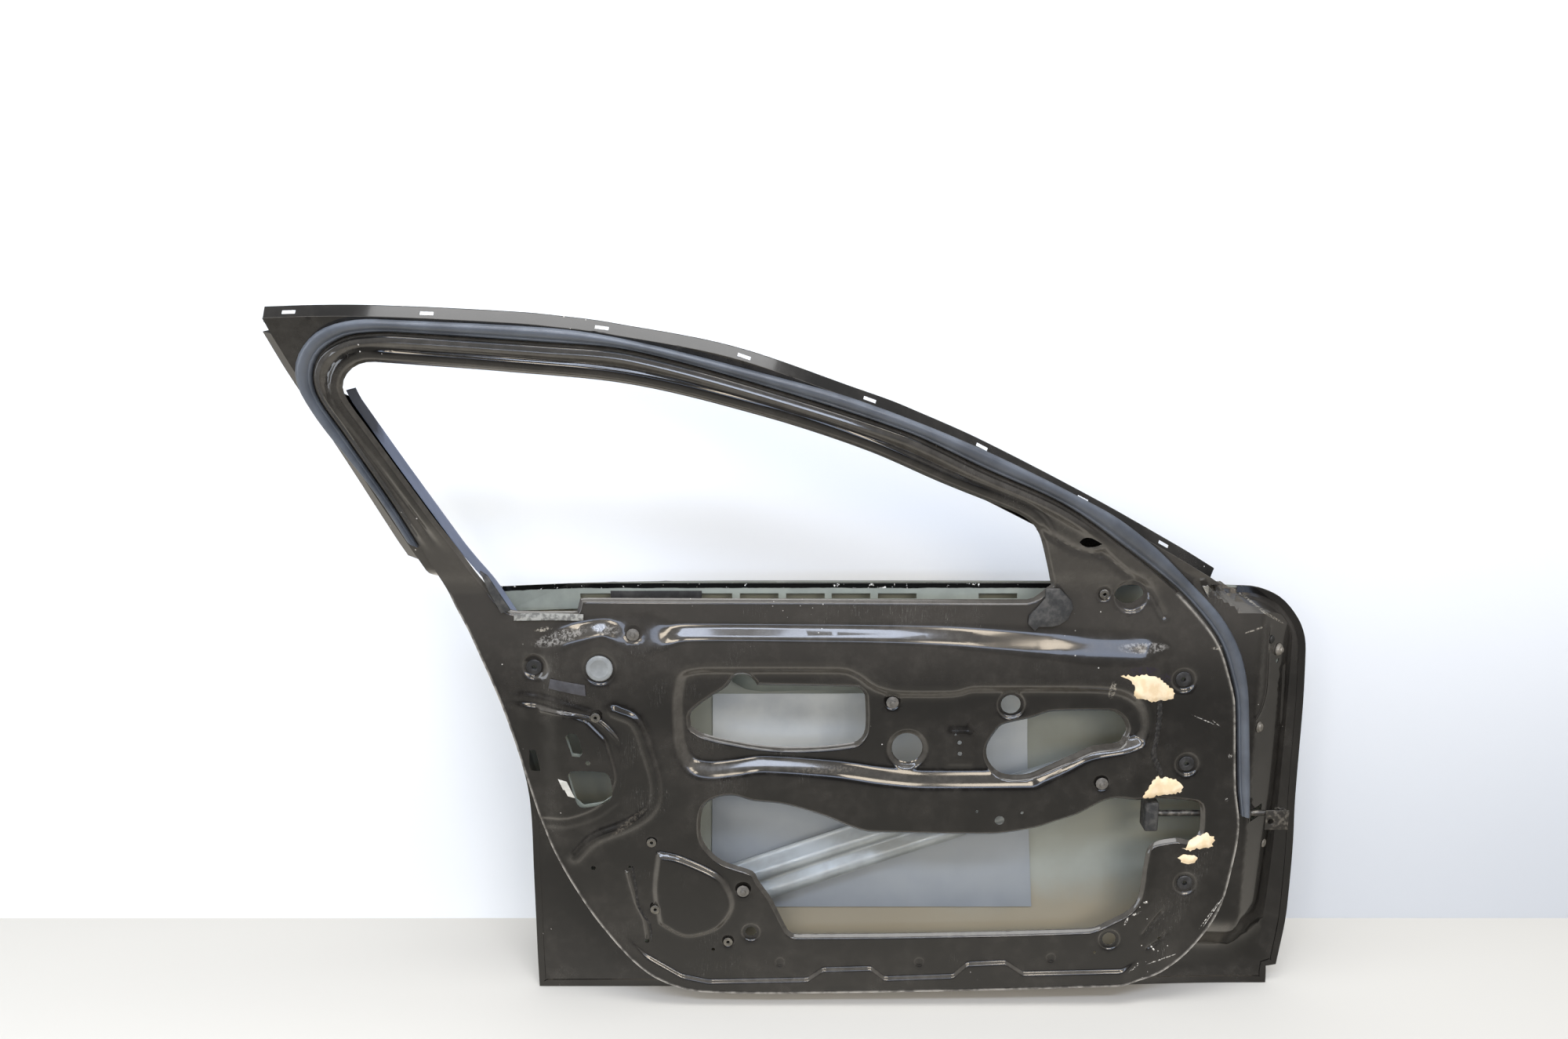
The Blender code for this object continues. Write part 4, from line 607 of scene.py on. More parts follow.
def sheet_triangles(outline, holes, lines, fine, coarse_every, reach):
    """Flat triangles over an outline, fine along every line and coarser between, all turned one way."""
    points, edges = [], []
    for line, closed in [(outline, True)] + [(h, True) for h in holes] + lines:
        first = len(points)
        points.extend(divided(line, closed, fine))
        count = len(points) - first
        edges.extend((first + i, first + (i + 1) % count)
                     for i in range(count if closed else count - 1))
    tree = search_tree(points)
    low, high = np.min(points, axis=0), np.max(points, axis=0)
    xs = np.arange(low[0], high[0], fine)
    zs = np.arange(low[1], high[1], fine * 0.87)
    gx, gz = np.meshgrid(xs, zs)
    column, row = np.meshgrid(np.arange(len(xs)), np.arange(len(zs)))
    coarse = ((column % coarse_every == 0) & (row % coarse_every == 0)).ravel()
    gx[1::2] += fine / 2.0
    gx, gz = gx.ravel() + 0.37, gz.ravel() + 0.53
    keep = on_sheet(gx, gz, outline, holes)
    for a, b, sparse in zip(gx[keep], gz[keep], coarse[keep]):
        near = tree.find((a, b, 0.0))[2]
        if near > fine * 0.5 and (near < reach or sparse):
            points.append((a, b))
    found, _, faces, *_ = delaunay_2d_cdt([Vector(p) for p in points], edges, [], 0, 1e-5)
    flat = np.array([(v.x, v.y) for v in found])
    tris = np.array([f for f in faces if len(f) == 3])
    tris = tris[on_sheet(*flat[tris].mean(axis=1).T, outline, holes)]
    used, tris = np.unique(tris, return_inverse=True)
    flat, tris = flat[used], tris.reshape(-1, 3)
    corner = flat[tris]
    a, b = corner[:, 1] - corner[:, 0], corner[:, 2] - corner[:, 0]
    turned = a[:, 0] * b[:, 1] - a[:, 1] * b[:, 0] < 0.0
    tris[turned] = tris[turned][:, ::-1]
    return flat, tris


def only(piece):
    """Make a piece the one selected and active object."""
    bpy.ops.object.select_all(action="DESELECT")
    piece.select_set(True)
    bpy.context.view_layer.objects.active = piece


def worked(piece, kind, **settings):
    """Puts a modifier on a piece and applies it."""
    only(piece)
    bpy.ops.object.modifier_add(type=kind)
    made = piece.modifiers[-1]
    for key, value in settings.items():
        setattr(made, key, value)
    bpy.ops.object.modifier_apply(modifier=made.name)


def wall_of(piece, gauge, offset=-1.0):
    """Gives a sheet its gauge."""
    worked(piece, "SOLIDIFY", thickness=gauge * MM, offset=offset, use_even_offset=False)


def edited(piece, *steps):
    """Takes a piece's whole mesh through steps in edit mode, each an operator with its settings."""
    only(piece)
    bpy.ops.object.mode_set(mode="EDIT")
    for step, settings in steps:
        bpy.ops.mesh.select_all(action="SELECT")
        step(**settings)
    bpy.ops.object.mode_set(mode="OBJECT")


def face_cabin(piece):
    """Turns an open sheet so that it faces the cabin."""
    if sum(f.normal.y * f.area for f in piece.data.polygons) > 0.0:
        piece.data.flip_normals()


def soften(piece, angle=38.0):
    """Shades a piece round, but for its sharp edges."""
    only(piece)
    bpy.ops.object.shade_smooth_by_angle(angle=math.radians(angle))


def new_piece(name, verts, faces, *materials):
    """A mesh piece from layout places."""
    mesh = bpy.data.meshes.new(name)
    mesh.from_pydata([at_layout(*v) for v in verts], [], faces)
    mesh.update()
    piece = bpy.data.objects.new(name, mesh)
    bpy.context.scene.collection.objects.link(piece)
    for material in materials:
        mesh.materials.append(material)
    return piece


def stands_for(piece, node, body="door"):
    """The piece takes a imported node's place and rides on its body."""
    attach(piece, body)
    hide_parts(node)


def layout_places(piece):
    """The layout x, y and z of a piece's points."""
    places = np.empty(len(piece.data.vertices) * 3)
    piece.data.vertices.foreach_get("co", places)
    return places.reshape(-1, 3).T / MM + np.array(HINGE_PAD)[:, None]


def raised(flat, y):
    """Flat places, each at its own depth."""
    return [(x, depth, z) for (x, z), depth in zip(flat, y)]


def grid(rows, count, closed=False):
    """The faces between rows of the same count, each row closed on itself or open."""
    faces = []
    for first in range(0, (rows - 1) * count, count):
        for i in range(count if closed else count - 1):
            j = (i + 1) % count
            faces.append((first + i, first + j, first + count + j, first + count + i))
    return faces


def strip(name, rows, gauge, material):
    """A folded strip through rows of the same count."""
    piece = new_piece(name, [p for row in rows for p in row], grid(len(rows), len(rows[0])), material)
    edited(piece, OUTWARD)
    wall_of(piece, gauge, 0.0)
    soften(piece, 30.0)
    return piece


def frame_row(line, shift, depth):
    """A line of places that leans with the window frame."""
    moved = offset_line(line, False, shift) if shift else line
    return [(x, float(frame_base(z)) + depth, z) for x, z in moved]


def panel_row(line, shift, depth):
    """A line of places that follows the inner panel."""
    moved = np.array(offset_line(line, False, shift) if shift else line, dtype=float)
    return raised(moved, panel_y(*moved.T) + depth)


def linear(hex_colour):
    """A colour picked as sRGB, in the linear values that shaders take."""
    parts = [int(hex_colour[i:i + 2], 16) / 255.0 for i in (0, 2, 4)]
    return tuple(c / 12.92 if c <= 0.04045 else ((c + 0.055) / 1.055) ** 2.4 for c in parts) + (1.0,)


def feed(node, feeds):
    """Gives a node's sockets, in their order or by name, plain values or other nodes' outputs."""
    for socket, value in feeds.items() if isinstance(feeds, dict) else enumerate(feeds):
        if isinstance(value, bpy.types.NodeSocket):
            node.id_data.links.new(value, node.inputs[socket])
        else:
            node.inputs[socket].default_value = value


def add(tree, kind, feeds=(), out=0, **settings):
    """One shader node with its settings and links, and the output of it that is used."""
    made = tree.nodes.new("ShaderNode" + kind)
    for key, value in settings.items():
        setattr(made, key, value)
    feed(made, feeds)
    return made.outputs[out]


def patchy(tree, place, size_mm, low, high, start=0.0, end=1.0, detail=4.0, rough=0.55):
    """Cloudy patches of a real size, from start where the cloud is thin to end where it is thick."""
    cloud = add(tree, "TexNoise", {"Vector": place, "Scale": 1000.0 / size_mm, "Detail": detail,
                                   "Roughness": rough})
    return add(tree, "MapRange", (cloud, low, high, start, end), **SOFT)


def along(tree, vector, axis, low, high, start=0.0, end=1.0, wave=None):
    """Goes softly from start to end between two measures on an axis; a wave makes the edge uneven."""
    measure = add(tree, "SeparateXYZ", (vector,), axis)
    if wave is not None:
        measure = add(tree, "Math", (measure, wave), operation="ADD")
    return add(tree, "MapRange", (measure, low, high, start, end), **SOFT)


def metres(axis, *places):
    """Layout places on one axis, in the model's own metres."""
    return [(place - HINGE_PAD["XYZ".index(axis)]) * MM for place in places]


def product(tree, first, *others):
    """Shares multiplied."""
    for other in others:
        first = add(tree, "Math", (first, other), operation="MULTIPLY")
    return first


def laid_over(tree, under, colour, *shares):
    """A colour laid over what is there, as strong as its shares together."""
    return add(tree, "Mix", {0: product(tree, *shares), 6: under, 7: linear(colour)}, 2, data_type="RGBA")


def started(name):
    """A new material: itself, its nodes, the place on the piece, and its shader."""
    made = bpy.data.materials.new(name)
    made.use_nodes = True
    tree = made.node_tree
    return made, tree, add(tree, "TexCoord", out="Object"), tree.nodes["Principled BSDF"]


def relief(tree, place, size_mm, depth_mm):
    """Fine uneven relief, its features and its depth in real sizes."""
    grain = add(tree, "TexNoise", {"Vector": place, "Scale": 1000.0 / size_mm, "Detail": 2.0,
                                   "Roughness": 0.55})
    return add(tree, "Bump", {"Strength": 1.0, "Distance": depth_mm * MM, "Height": grain})


def finish(name, base, other, patch_mm, grain_mm, rough, grain_depth=0.02, metallic=0.0, dust=None,
           dust_share=0.3, contrast=(0.35, 0.65)):
    """A surface of two close colours in patches, a fine grain, and dust on what faces up."""
    made, tree, place, shader = started(name)
    colour = laid_over(tree, linear(base), other, patchy(tree, place, patch_mm, *contrast))
    if dust:
        facing = add(tree, "NewGeometry", out="Normal")
        colour = laid_over(tree, colour, dust, along(tree, facing, "Z", -0.2, 0.9, 0.25, 1.0),
                           patchy(tree, place, patch_mm, 0.4, 0.75), dust_share)
    feed(shader, {"Base Color": colour, "Metallic": metallic,
                  "Roughness": patchy(tree, place, patch_mm * 0.4, 0.3, 0.7, *rough),
                  "Normal": relief(tree, place, grain_mm, grain_depth)})
    return made


def spots(tree, place, marks):
    """A mask of soft long marks at layout places: (x, z, half length, half width, turn in degrees)."""
    total = 0.0
    for x, z, reach, width, turn in marks:
        moved = add(tree, "Mapping", {
            "Vector": place, "Location": (*metres("X", x), 0.0, *metres("Z", z)),
            "Rotation": (0.0, -math.radians(turn), 0.0),
            "Scale": (reach * MM, THROUGH_ALL, width * MM)}, vector_type="TEXTURE")
        away = add(tree, "VectorMath", (moved,), "Value", operation="LENGTH")
        near = add(tree, "MapRange", (away, 0.6, 1.0, 1.0, 0.0), **SOFT)
        total = add(tree, "Math", (total, near), operation="MAXIMUM")
    return total


def scratches(tree, place):
    """Hairline scratches in three directions, each where a patch lets it show. A real one is too
    fine to show in the render, so these are drawn as wide as they need to be seen."""
    total = 0.0
    for turn, gap in SCRATCH_LINES:
        turned = add(tree, "Mapping", {"Vector": place, "Rotation": (0.0, turn, 0.0),
                                       "Scale": (1.0, 1.0, 0.05)})
        hair = add(tree, "TexNoise", {"Vector": turned, "Scale": 1000.0 / (gap / 22.0), "Detail": 1.0,
                                      "Roughness": 0.55})
        off = add(tree, "Math", (hair, 0.5), operation="SUBTRACT")
        off = add(tree, "Math", (off,), operation="ABSOLUTE")
        line = product(tree, add(tree, "MapRange", (off, 0.0, 0.004, 1.0, 0.0), **SOFT),
                       patchy(tree, place, gap * 2.2, 0.62, 0.72, detail=2.0))
        total = add(tree, "Math", (total, line), operation="MAXIMUM")
    return total


def wear_and_painted_light(tree, place, facing, streak, base):
    """The trim face's painted light and wear: painted sheen on its bends, paler grey towards the belt, and an
    edge rubbed light, partly wear and partly painted highlight.
    """
    tilt = add(tree, "Math", (add(tree, "SeparateXYZ", (facing,), "Y"),), operation="ABSOLUTE")
    # Painted sheen: bends and slopes are painted lighter where the face turns from flat, but not past the
    # hinge edge
    base = laid_over(tree, base, "6E6A63", add(tree, "MapRange", (tilt, 0.80, 0.985, 0.40, 0.0), **SOFT),
                     add(tree, "MapRange", (streak, 0.2, 0.7, 0.6, 1.0), **SOFT),
                     along(tree, place, "X", *metres("X", 660, 672), 1.0, 0.15))
    # The face goes paler grey towards the belt, and this fades out up the frame
    base = laid_over(tree, base, WORKSHOP_DUST, along(tree, place, "Z", *metres("Z", 460, 620), 0.0, 0.12),
                     along(tree, place, "Z", *metres("Z", 700, 800), 1.0, 0.0))
    # The face edge painted light: partly wear, partly painted highlight
    rubbed = add(tree, "Attribute", out="Fac", attribute_name="rubbed_lit_edge")
    return laid_over(tree, base, "B4B0A8", rubbed,
                     patchy(tree, place, 14.0, 0.35, 0.6, 0.25, 0.8, detail=3.0))


def body_paint(name, dusty, marks_and_painted_light=False):
    """Black two-layer body paint on pressed steel: a brown-black base under a glossy clear coat, so
    hollows stay deep and bends catch narrow highlights. Over it lie workshop dust, which greys what
    faces up, hairline scratches, and chips down to a pale undercoat."""
    made, tree, place, shader = started(name)
    cloud = add(tree, "TexNoise", {"Vector": place, "Scale": 1000.0 / 90.0, "Detail": 5.0,
                                   "Roughness": 0.6})
    streak = add(tree, "TexNoise", {"Vector": place, "Scale": 1000.0 / 16.0, "Detail": 6.0,
                                    "Roughness": 0.7})
    base = laid_over(tree, linear("0E0D0C"), "191715", add(tree, "MapRange", (cloud, 0.35, 0.7), **SOFT))
    facing = add(tree, "NewGeometry", out="Normal")
    lies = along(tree, facing, "Z", -0.1, 0.8, 0.35, 1.0)
    grime = add(tree, "MapRange", (product(tree, cloud, streak), 0.2, 0.42), **SOFT)
    dust = product(tree, lies, grime, dusty)
    base = laid_over(tree, base, WORKSHOP_DUST, dust)
    if marks_and_painted_light:
        base = wear_and_painted_light(tree, place, facing, streak, base)
    base = laid_over(tree, base, "B9B7B2", scratches(tree, place), 0.35)
    chip = add(tree, "TexVoronoi", {"Vector": place, "Scale": 1000.0 / 14.0}, "Distance")
    base = laid_over(tree, base, "C9C6C0", add(tree, "MapRange", (chip, 0.05, 0.08, 1.0, 0.0), **SOFT),
                     patchy(tree, place, 120.0, 0.6, 0.66, detail=1.0))
    if marks_and_painted_light:
        base = marks_and_painted_reflections(tree, place, base)
    dull = add(tree, "Math", (product(tree, dust, 1.4), product(tree, cloud, 0.5)), operation="ADD")
    # The waves of sprayed paint, some 7 mm long
    feed(shader, {"Base Color": base, "Normal": relief(tree, place, 7.0, 0.012),
                  "Roughness": add(tree, "MapRange", (dull, 0.15, 0.9, 0.10, 0.42), **SOFT),
                  "Specular IOR Level": 0.3, "Coat Weight": 0.45, "Coat Roughness": 0.05})
    return made


def marks_and_painted_reflections(tree, place, base):
    """Marks that the photograph shows in one place each: scuffs, smears, white chips, and grey patches of
    painted reflection on the upper step.
    """
    broken = patchy(tree, place, 4.0, 0.45, 0.6, detail=5.0, rough=0.7)
    for colour, strength, marks in MARKS_AND_PAINTED_REFLECTIONS:
        base = laid_over(tree, base, colour, spots(tree, place, marks), broken, strength)
    return base


def belt_primer():
    """Electrocoat primer, flat and grey green, with glossy black paint and white chips where the
    belt stiffener's top edge stands out of the door."""
    made, tree, place, shader = started("primer with a painted top edge")
    cloud = add(tree, "TexNoise", {"Vector": place, "Scale": 1000.0 / 30.0, "Detail": 3.0,
                                   "Roughness": 0.55})
    painted = along(tree, place, "Z", *metres("Z", 628.5, 630.0), wave=product(tree, cloud, 0.003))
    primer = laid_over(tree, linear("858C86"), "949B94", patchy(tree, place, 50.0, 0.35, 0.65))
    black = laid_over(tree, linear("0F0F0F"), "E4E4E0",
                      patchy(tree, place, 9.0, 0.64, 0.68, detail=3.0, rough=0.7))
    feed(shader, {"Base Color": add(tree, "Mix", {0: painted, 6: primer, 7: black}, 2, data_type="RGBA"),
                  "Roughness": add(tree, "MapRange", (painted, 0.0, 1.0, 0.5, 0.15), **SOFT)})
    return made


def banded(made, colour, clean_at, full_at):
    """A finish with another colour on it, gone at one height and full at another."""
    tree = made.node_tree
    socket = tree.nodes["Principled BSDF"].inputs["Base Color"]
    own = socket.links[0].from_socket
    place = add(tree, "TexCoord", out="Object")
    cloud = add(tree, "TexNoise", {"Vector": place, "Scale": 1000.0 / 45.0, "Detail": 4.0,
                                   "Roughness": 0.55})
    wave = product(tree, add(tree, "Math", (cloud, 0.5), operation="SUBTRACT"), 0.06)
    share = along(tree, place, "Z", *metres("Z", full_at, clean_at), 0.8, 0.0, wave)
    tree.links.new(laid_over(tree, own, colour, share), socket)
    return made


# Black body paint: deep and glossy, dulled by dust most on the trim side, where painted sheen and painted
# reflections lie on it too
PANEL_PAINT = body_paint("black body paint, workshop dusty, with painted light", 0.10, True)
CLEAN_PAINT = body_paint("black body paint, polished outer side", 0.02)
FRAME_PAINT = body_paint("black body paint on window frame", 0.04)
# Electrocoat with a dry mist of overspray, flat and pale grey, and brown dirt settled at the hem
OVERSPRAY = banded(
    finish("electrocoat with pale overspray", "989C94", "8A8F87", 140.0, 3.0, (0.42, 0.6), 0.02,
           dust="A69C86", dust_share=0.4), "9C917A", 180.0, 100.0)
# Electrocoat primer, dipped: an even grey green skin with a soft sheen
PRIMER = finish("grey green electrocoat primer", "7C837C", "8A9188", 70.0, 2.5, (0.4, 0.55), 0.015,
                dust="9A958A", dust_share=0.35)
# The same primer thin over drawn tube: lighter, and a little metal shines through
BEAM_STEEL = finish("primed high strength steel", "A2A8AA", "8B9193", 60.0, 2.0, (0.3, 0.45), 0.02, 0.2,
                    dust="A9A698", dust_share=0.3)
# Rolled aluminium foil on bitumen: pale and silky, greyed towards its foot
DAMPING = banded(
    finish("aluminium faced damping sheet", "D0D5D5", "B9C0C5", 90.0, 1.6, (0.3, 0.45), 0.02, 0.2,
           contrast=(0.35, 0.7)), "868C92", 420.0, 280.0)
# Blue grey primer, smooth and cool, with dark paint over the channel's top
CHANNEL_PRIMER = banded(
    finish("pale blue grey channel primer", "8089A0", "757E93", 60.0, 2.0, (0.35, 0.5), 0.01),
    "1F1D1B", 865.0, 885.0)
# Sponge rubber, moulded with a closed skin: slate grey with a dull sheen and dust along its top
SEAL_RUBBER = finish("moulded sponge rubber with a smooth skin", "4A4F57", "565C65", 60.0, 1.2, (0.3, 0.42),
                     0.02, dust="7E858F", dust_share=0.35)
# Solid rubber, moulded and scuffed: matt near-black with a coarse grain
PAD_RUBBER = finish("scuffed moulded rubber", "2B2C2D", "3B3B3A", 12.0, 0.8, (0.55, 0.75), 0.05,
                    dust="8A8782", dust_share=0.5)
# Soft plug rubber, moulded in mid grey: even and satin
PLUG_RUBBER = finish("grey moulded rubber plug", "8F9394", "7C8081", 20.0, 0.8, (0.4, 0.55), 0.02,
                     dust="85888A", dust_share=0.3)
# Nylon, injection moulded: even colour and a low satin sheen
GROMMET_PLASTIC = finish("grey moulded nylon", "1B1B1C", "262627", 12.0, 0.7, (0.4, 0.55), 0.01,
                         dust="77787A", dust_share=0.4)
CLIP_PLASTIC = finish("black moulded nylon", "181818", "232322", 10.0, 0.7, (0.35, 0.5), 0.01,
                      dust="6C6A66", dust_share=0.35)
STUD_PLASTIC = finish("smoke grey moulded nylon", "55534F", "6B6863", 6.0, 0.8, (0.3, 0.5), 0.02)
# Zinc plating: a grey metal shine where it is fresh, chalky and pale where it is dull
ZINC = finish("zinc plated steel", "64625E", "7B7974", 10.0, 0.9, (0.25, 0.42), 0.01, 0.9,
              dust="7B776E", dust_share=0.2)
DULL_ZINC = finish("dull zinc plating, dusty", "8A857C", "69655D", 6.0, 0.8, (0.35, 0.55), 0.02, 0.3)
# Steel blacked in oil, rubbed by its rollers: dark, with bright metal in patches
BLACKED_STEEL = finish("blacked steel, worn bright in places", "3A3835", "716D66", 7.0, 0.8, (0.28, 0.5),
                       0.02, 0.5, dust="8A8478", dust_share=0.35, contrast=(0.45, 0.7))
# Spring steel, rolled bright: a clean metal shine
SPRING_STEEL = finish("bright spring steel", "A9AAAA", "C4C4C2", 8.0, 0.6, (0.2, 0.35), 0.01, 1.0)
# Pressed felt, torn off its foam: cream, without sheen. Its 0.02 mm fibres are drawn 1.4 mm to show
FELT = finish("torn pressed felt backing", "F0DDBD", "E6CFA9", 14.0, 1.4, (0.9, 1.0), 0.35,
              contrast=(0.4, 0.6))
# Woven cloth tape: matt black. Its 0.3 mm threads are drawn as a 1.1 mm grain to show
CLOTH_TAPE = finish("black woven cloth tape", "222223", "2C2C2D", 18.0, 1.1, (0.7, 0.85), 0.08,
                    dust="6C6A66", dust_share=0.35)
# Polyester tape, calendered: dark grey with a satin face
GREY_TAPE = finish("grey adhesive tape", "303033", "3B3B3F", 16.0, 1.0, (0.4, 0.6), 0.02,
                   dust="77757A", dust_share=0.3)
# Cast film, left unprinted: off-white and satin
LABEL_FILM = finish("blank pale film", "C9C8C2", "B5B4AD", 12.0, 1.0, (0.35, 0.5), 0.01)
# Acrylic adhesive dried on torn foam: blotched grey, partly glossy
ADHESIVE = finish("dried clear adhesive on foam", "8C8C86", "5C5C58", 6.0, 1.2, (0.4, 0.7), 0.1,
                  contrast=(0.42, 0.6))
# Sealant, extruded by hand and weathered: black, matt and lumpy
BEAD_ADHESIVE = finish("weathered sealant bead", "151413", "2A2826", 4.0, 1.2, (0.6, 0.85), 0.3,
                       dust="7A766F", dust_share=0.3)


def bands(line, closed, start, end, step):
    """Parallel lines across a bend, so that its mesh runs with it."""
    count = max(1, int(round((end - start) / step)))
    gaps = np.linspace(start, end, count + 1)
    return [(offset_line(line, closed, float(gap)), closed) for gap in gaps]


def wall_lines():
    """Lines where the oblique hinge wall and the rim flange change their slope."""
    heights = np.linspace(70.0, 590.0, 40)
    foot = np.full(heights.shape, HINGE_WALL_START)
    for _ in range(8):
        flange = skin_y(foot, heights) - PANEL_GAUGE - FLANGE_GAP
        foot = HINGE_WALL_START + (flange - HINGE_WALL_DEPTH) / HINGE_WALL_SLOPE
    start = [(HINGE_WALL_START, z) for z in heights[1:-1]]
    rim = drawn(PANEL_RIGHT, False) + [p for p in drawn(PANEL_LEFT, False) if p[1] < 655.0]
    rims = [(offset_line(rim, False, -gap)[2:-2], False) for gap in
            (FLANGE_WIDTH, FLANGE_WIDTH + RIM_SLOPE / 2.0, FLANGE_WIDTH + RIM_SLOPE)]
    return [(list(zip(foot, heights))[:-1], False), (start, False)] + rims


def make_panel():
    """The pressed inner panel with its folded lips, holes and beads."""
    holes = [window_opening] + access_openings
    holes += [drawn(line, True, 5.0, 60.0)
              for line in (LATCH_OPENING, LATCH_SLOT, EYE_HOLE, MIRROR_LEAF_HOLE)]
    holes += [LATCH_EDGE_WINDOW, CHECK_ARM_HOLE, circle(*ROUND_HOLE, ROUND_HOLE_R, 40)]
    holes += [circle(x, z, GROMMET_R, 20) for x, z in GROMMETS]
    holes += [circle(x, z, RIVET_HOLE_R, 16) for x, z in RIVET_NUTS]
    holes += [circle(x, z, r, 24) for x, z, r in OPEN_HOLES]
    holes += [circle(x, z, r, 12) for x, z, r in SMALL_HOLES]
    holes.append(circle(*PLUG_PLACE, PLUG_HOLE_R, 28))
    upper = [p for p in face_edge if p[1] > FRAME_LINES_FROM]
    sight = [p for p in window_opening if p[1] > FRAME_LINES_FROM]
    # Line, closed or not, and the bands across it: first, last and step
    bends = [(line, True, -1.5, 7.5, 1.6) for line in access_openings]
    bends += [
        (window_opening, True, -7.5, -1.5, 1.6), (step_top, False, -5.0, 5.0, 2.5),
        (step_foot, False, -5.0, 5.0, 2.5), (ring, True, -34.0, 0.0, 3.4), (SILL_LINE, False, -7.5, 1.5, 1.8),
        (face_edge, True, -9.0, 4.8, 1.6), (upper, False, 1.0, 19.0, 2.0), (sight, False, -22.0, -7.5, 2.4),
        (latch_field, True, -21.0, 5.0, 2.0), (soft_ridge, False, -12.0, 12.0, 4.0),
        (corner_boss, True, -9.0, 5.0, 2.8)]
    lines = [line for across in bends for line in bands(*across)] + wall_lines()
    for line, half, _ in bead_lines:
        lines += bands(line, False, -half, half, half / 2.0)
    lines += [(circle(*ROUND_HOLE, r, 40), True) for r in (25.0, 28.5, 32.0)]
    for x, z in GROMMETS:
        lines += [(circle(x, z, r), True) for r in (11.0, 14.0, 17.0, 20.0)]
    for x, z, radius, _ in DIMPLES:
        lines += [(circle(x, z, radius - drop), True) for drop in (0.0, 2.2, 4.4)]
    lines += [(circle(*PLUG_PLACE, r, 28), True) for r in (21.0, 23.5, 26.0)]
    flat, tris = sheet_triangles(panel_outline, holes, lines, 6.0, 3, 20.0)
    panel = new_piece("inner_panel_pressing", raised(flat, panel_y(*flat.T)), tris.tolist(), PANEL_PAINT)
    wall_of(panel, PANEL_GAUGE)
    soften(panel)
    mark_rubbed_lit_edge(panel)
    stands_for(panel, "inner_panel")


def mark_rubbed_lit_edge(panel):
    """Marks how far the paint is rubbed light along the edge of the panel's face, partly wear and partly a
    painted highlight on the edge.
    """
    x, _, z = layout_places(panel)
    rubbed = smooth(1.0 - distance(x, z, face_edge) / RUBBED_LIT_WIDTH) * (z < FRAME_START)
    mark = panel.data.attributes.new("rubbed_lit_edge", "FLOAT", "POINT")
    mark.data.foreach_set("value", rubbed.astype(np.float32))


def make_skin():
    """The outer skin with its folded hem, painted outside and primed inside."""
    flat, tris = sheet_triangles(skin_outline, [], [], 14.0, 2, 30.0)
    verts = raised(flat, skin_y(*flat.T))
    faces = tris.tolist()
    tree = search_tree(flat)
    rim = divided(skin_outline, True, 14.0)
    count = len(rim)
    # The hem is three rows of points: the skin's own edge, and the fold's outer and inner edge
    rows = [[tree.find((x, z, 0.0))[1] for x, z in rim]]
    fold = PANEL_GAUGE + 2.0 * FLANGE_GAP
    for line in (np.array(rim), np.array(offset_line(rim, True, -HEM_RETURN))):
        rows.append(range(len(verts), len(verts) + count))
        verts += raised(line, skin_y(*line.T) - fold)
    for i in range(count):
        j = (i + 1) % count
        (x1, z1), (x2, z2) = rim[i], rim[j]
        open_top = max(z1, z2) > 620.0 and min(x1, x2) < 655.0
        if open_top or (max(x1, x2) < 0.0 and max(z1, z2) > 600.0):
            continue
        for outer, inner in zip(rows, rows[1:]):
            faces.append((outer[i], outer[j], inner[j], inner[i]))
    skin = new_piece("outer_skin_panel", verts, faces, OVERSPRAY, CLEAN_PAINT)
    edited(skin, (bpy.ops.mesh.delete_loose, {}), OUTWARD)
    face_cabin(skin)
    wall_of(skin, SKIN_GAUGE)
    x, y, z = layout_places(skin)
    depth = y - skin_y(x, z)
    for face in skin.data.polygons:
        inside_skin = face.normal.y < -0.3 and depth[list(face.vertices)].mean() > -1.0
        face.material_index = 0 if inside_skin else 1
    soften(skin, 45.0)
    stands_for(skin, "outer_skin")


def make_frame_sheets():
    """The sheets that close the window frame, each rolled along the frame's own curve."""
    seat = PANEL_GAUGE + FRAME_SHEET_GAP + FRAME_GAUGE / 2.0
    rows = [panel_row(roof_line, -5.0, seat), panel_row(roof_line, 0.0, seat),
            frame_row(top_edge, 0.0, ROOF_FLANGE_DEPTH - 1.5), frame_row(top_edge, 1.0, ROOF_FLANGE_DEPTH)]
    flange = strip("roof_flange_sheet", rows, FRAME_GAUGE, FRAME_PAINT)
    slot_through(flange)
    stands_for(flange, "roof_flange")
    behind = seat + FRAME_GAUGE + OUTER_SHEET_GAP
    line = drawn([(-606, 1043)] + TOP_EDGE[2:-2], False)
    rows = [panel_row(line, -ROOF_FLANGE_HEIGHT - 4.0, behind), frame_row(line, -20.0, FRAME_DEPTH - 4.0),
            frame_row(line, -26.0, FRAME_DEPTH), frame_row(line, -FRAME_FACE, FRAME_DEPTH),
            frame_row(line, -FRAME_FACE - 5.0, FRAME_DEPTH - 8.0)]
    stands_for(strip("frame_outer_sheet", rows, FRAME_GAUGE, FRAME_PAINT), "frame_outer_panel")
    pillar, strip_edge = drawn(PILLAR_EDGE, False), drawn(PILLAR_STRIP, False)
    rows = [panel_row(pillar, -5.0, seat), panel_row(pillar, 0.0, seat)]
    rows += [frame_row(strip_edge, 0.0, depth) for depth in (25.0, PILLAR_STRIP_DEPTH)]
    stands_for(strip("rear_frame_sheet", rows, FRAME_GAUGE, FRAME_PAINT), "rear_frame_strip")
    channel = drawn(CHANNEL_LINE, False)
    start = LIP_DEPTH + seat
    rows = [frame_row(channel, 1.0, start), frame_row(channel, 1.0, GLASS_CHANNEL_DEPTH),
            frame_row(channel, 14.0, GLASS_CHANNEL_DEPTH)]
    channel = strip("rear_glass_channel_sheet", rows, FRAME_GAUGE, CHANNEL_PRIMER)
    stands_for(channel, "rear_glass_channel")


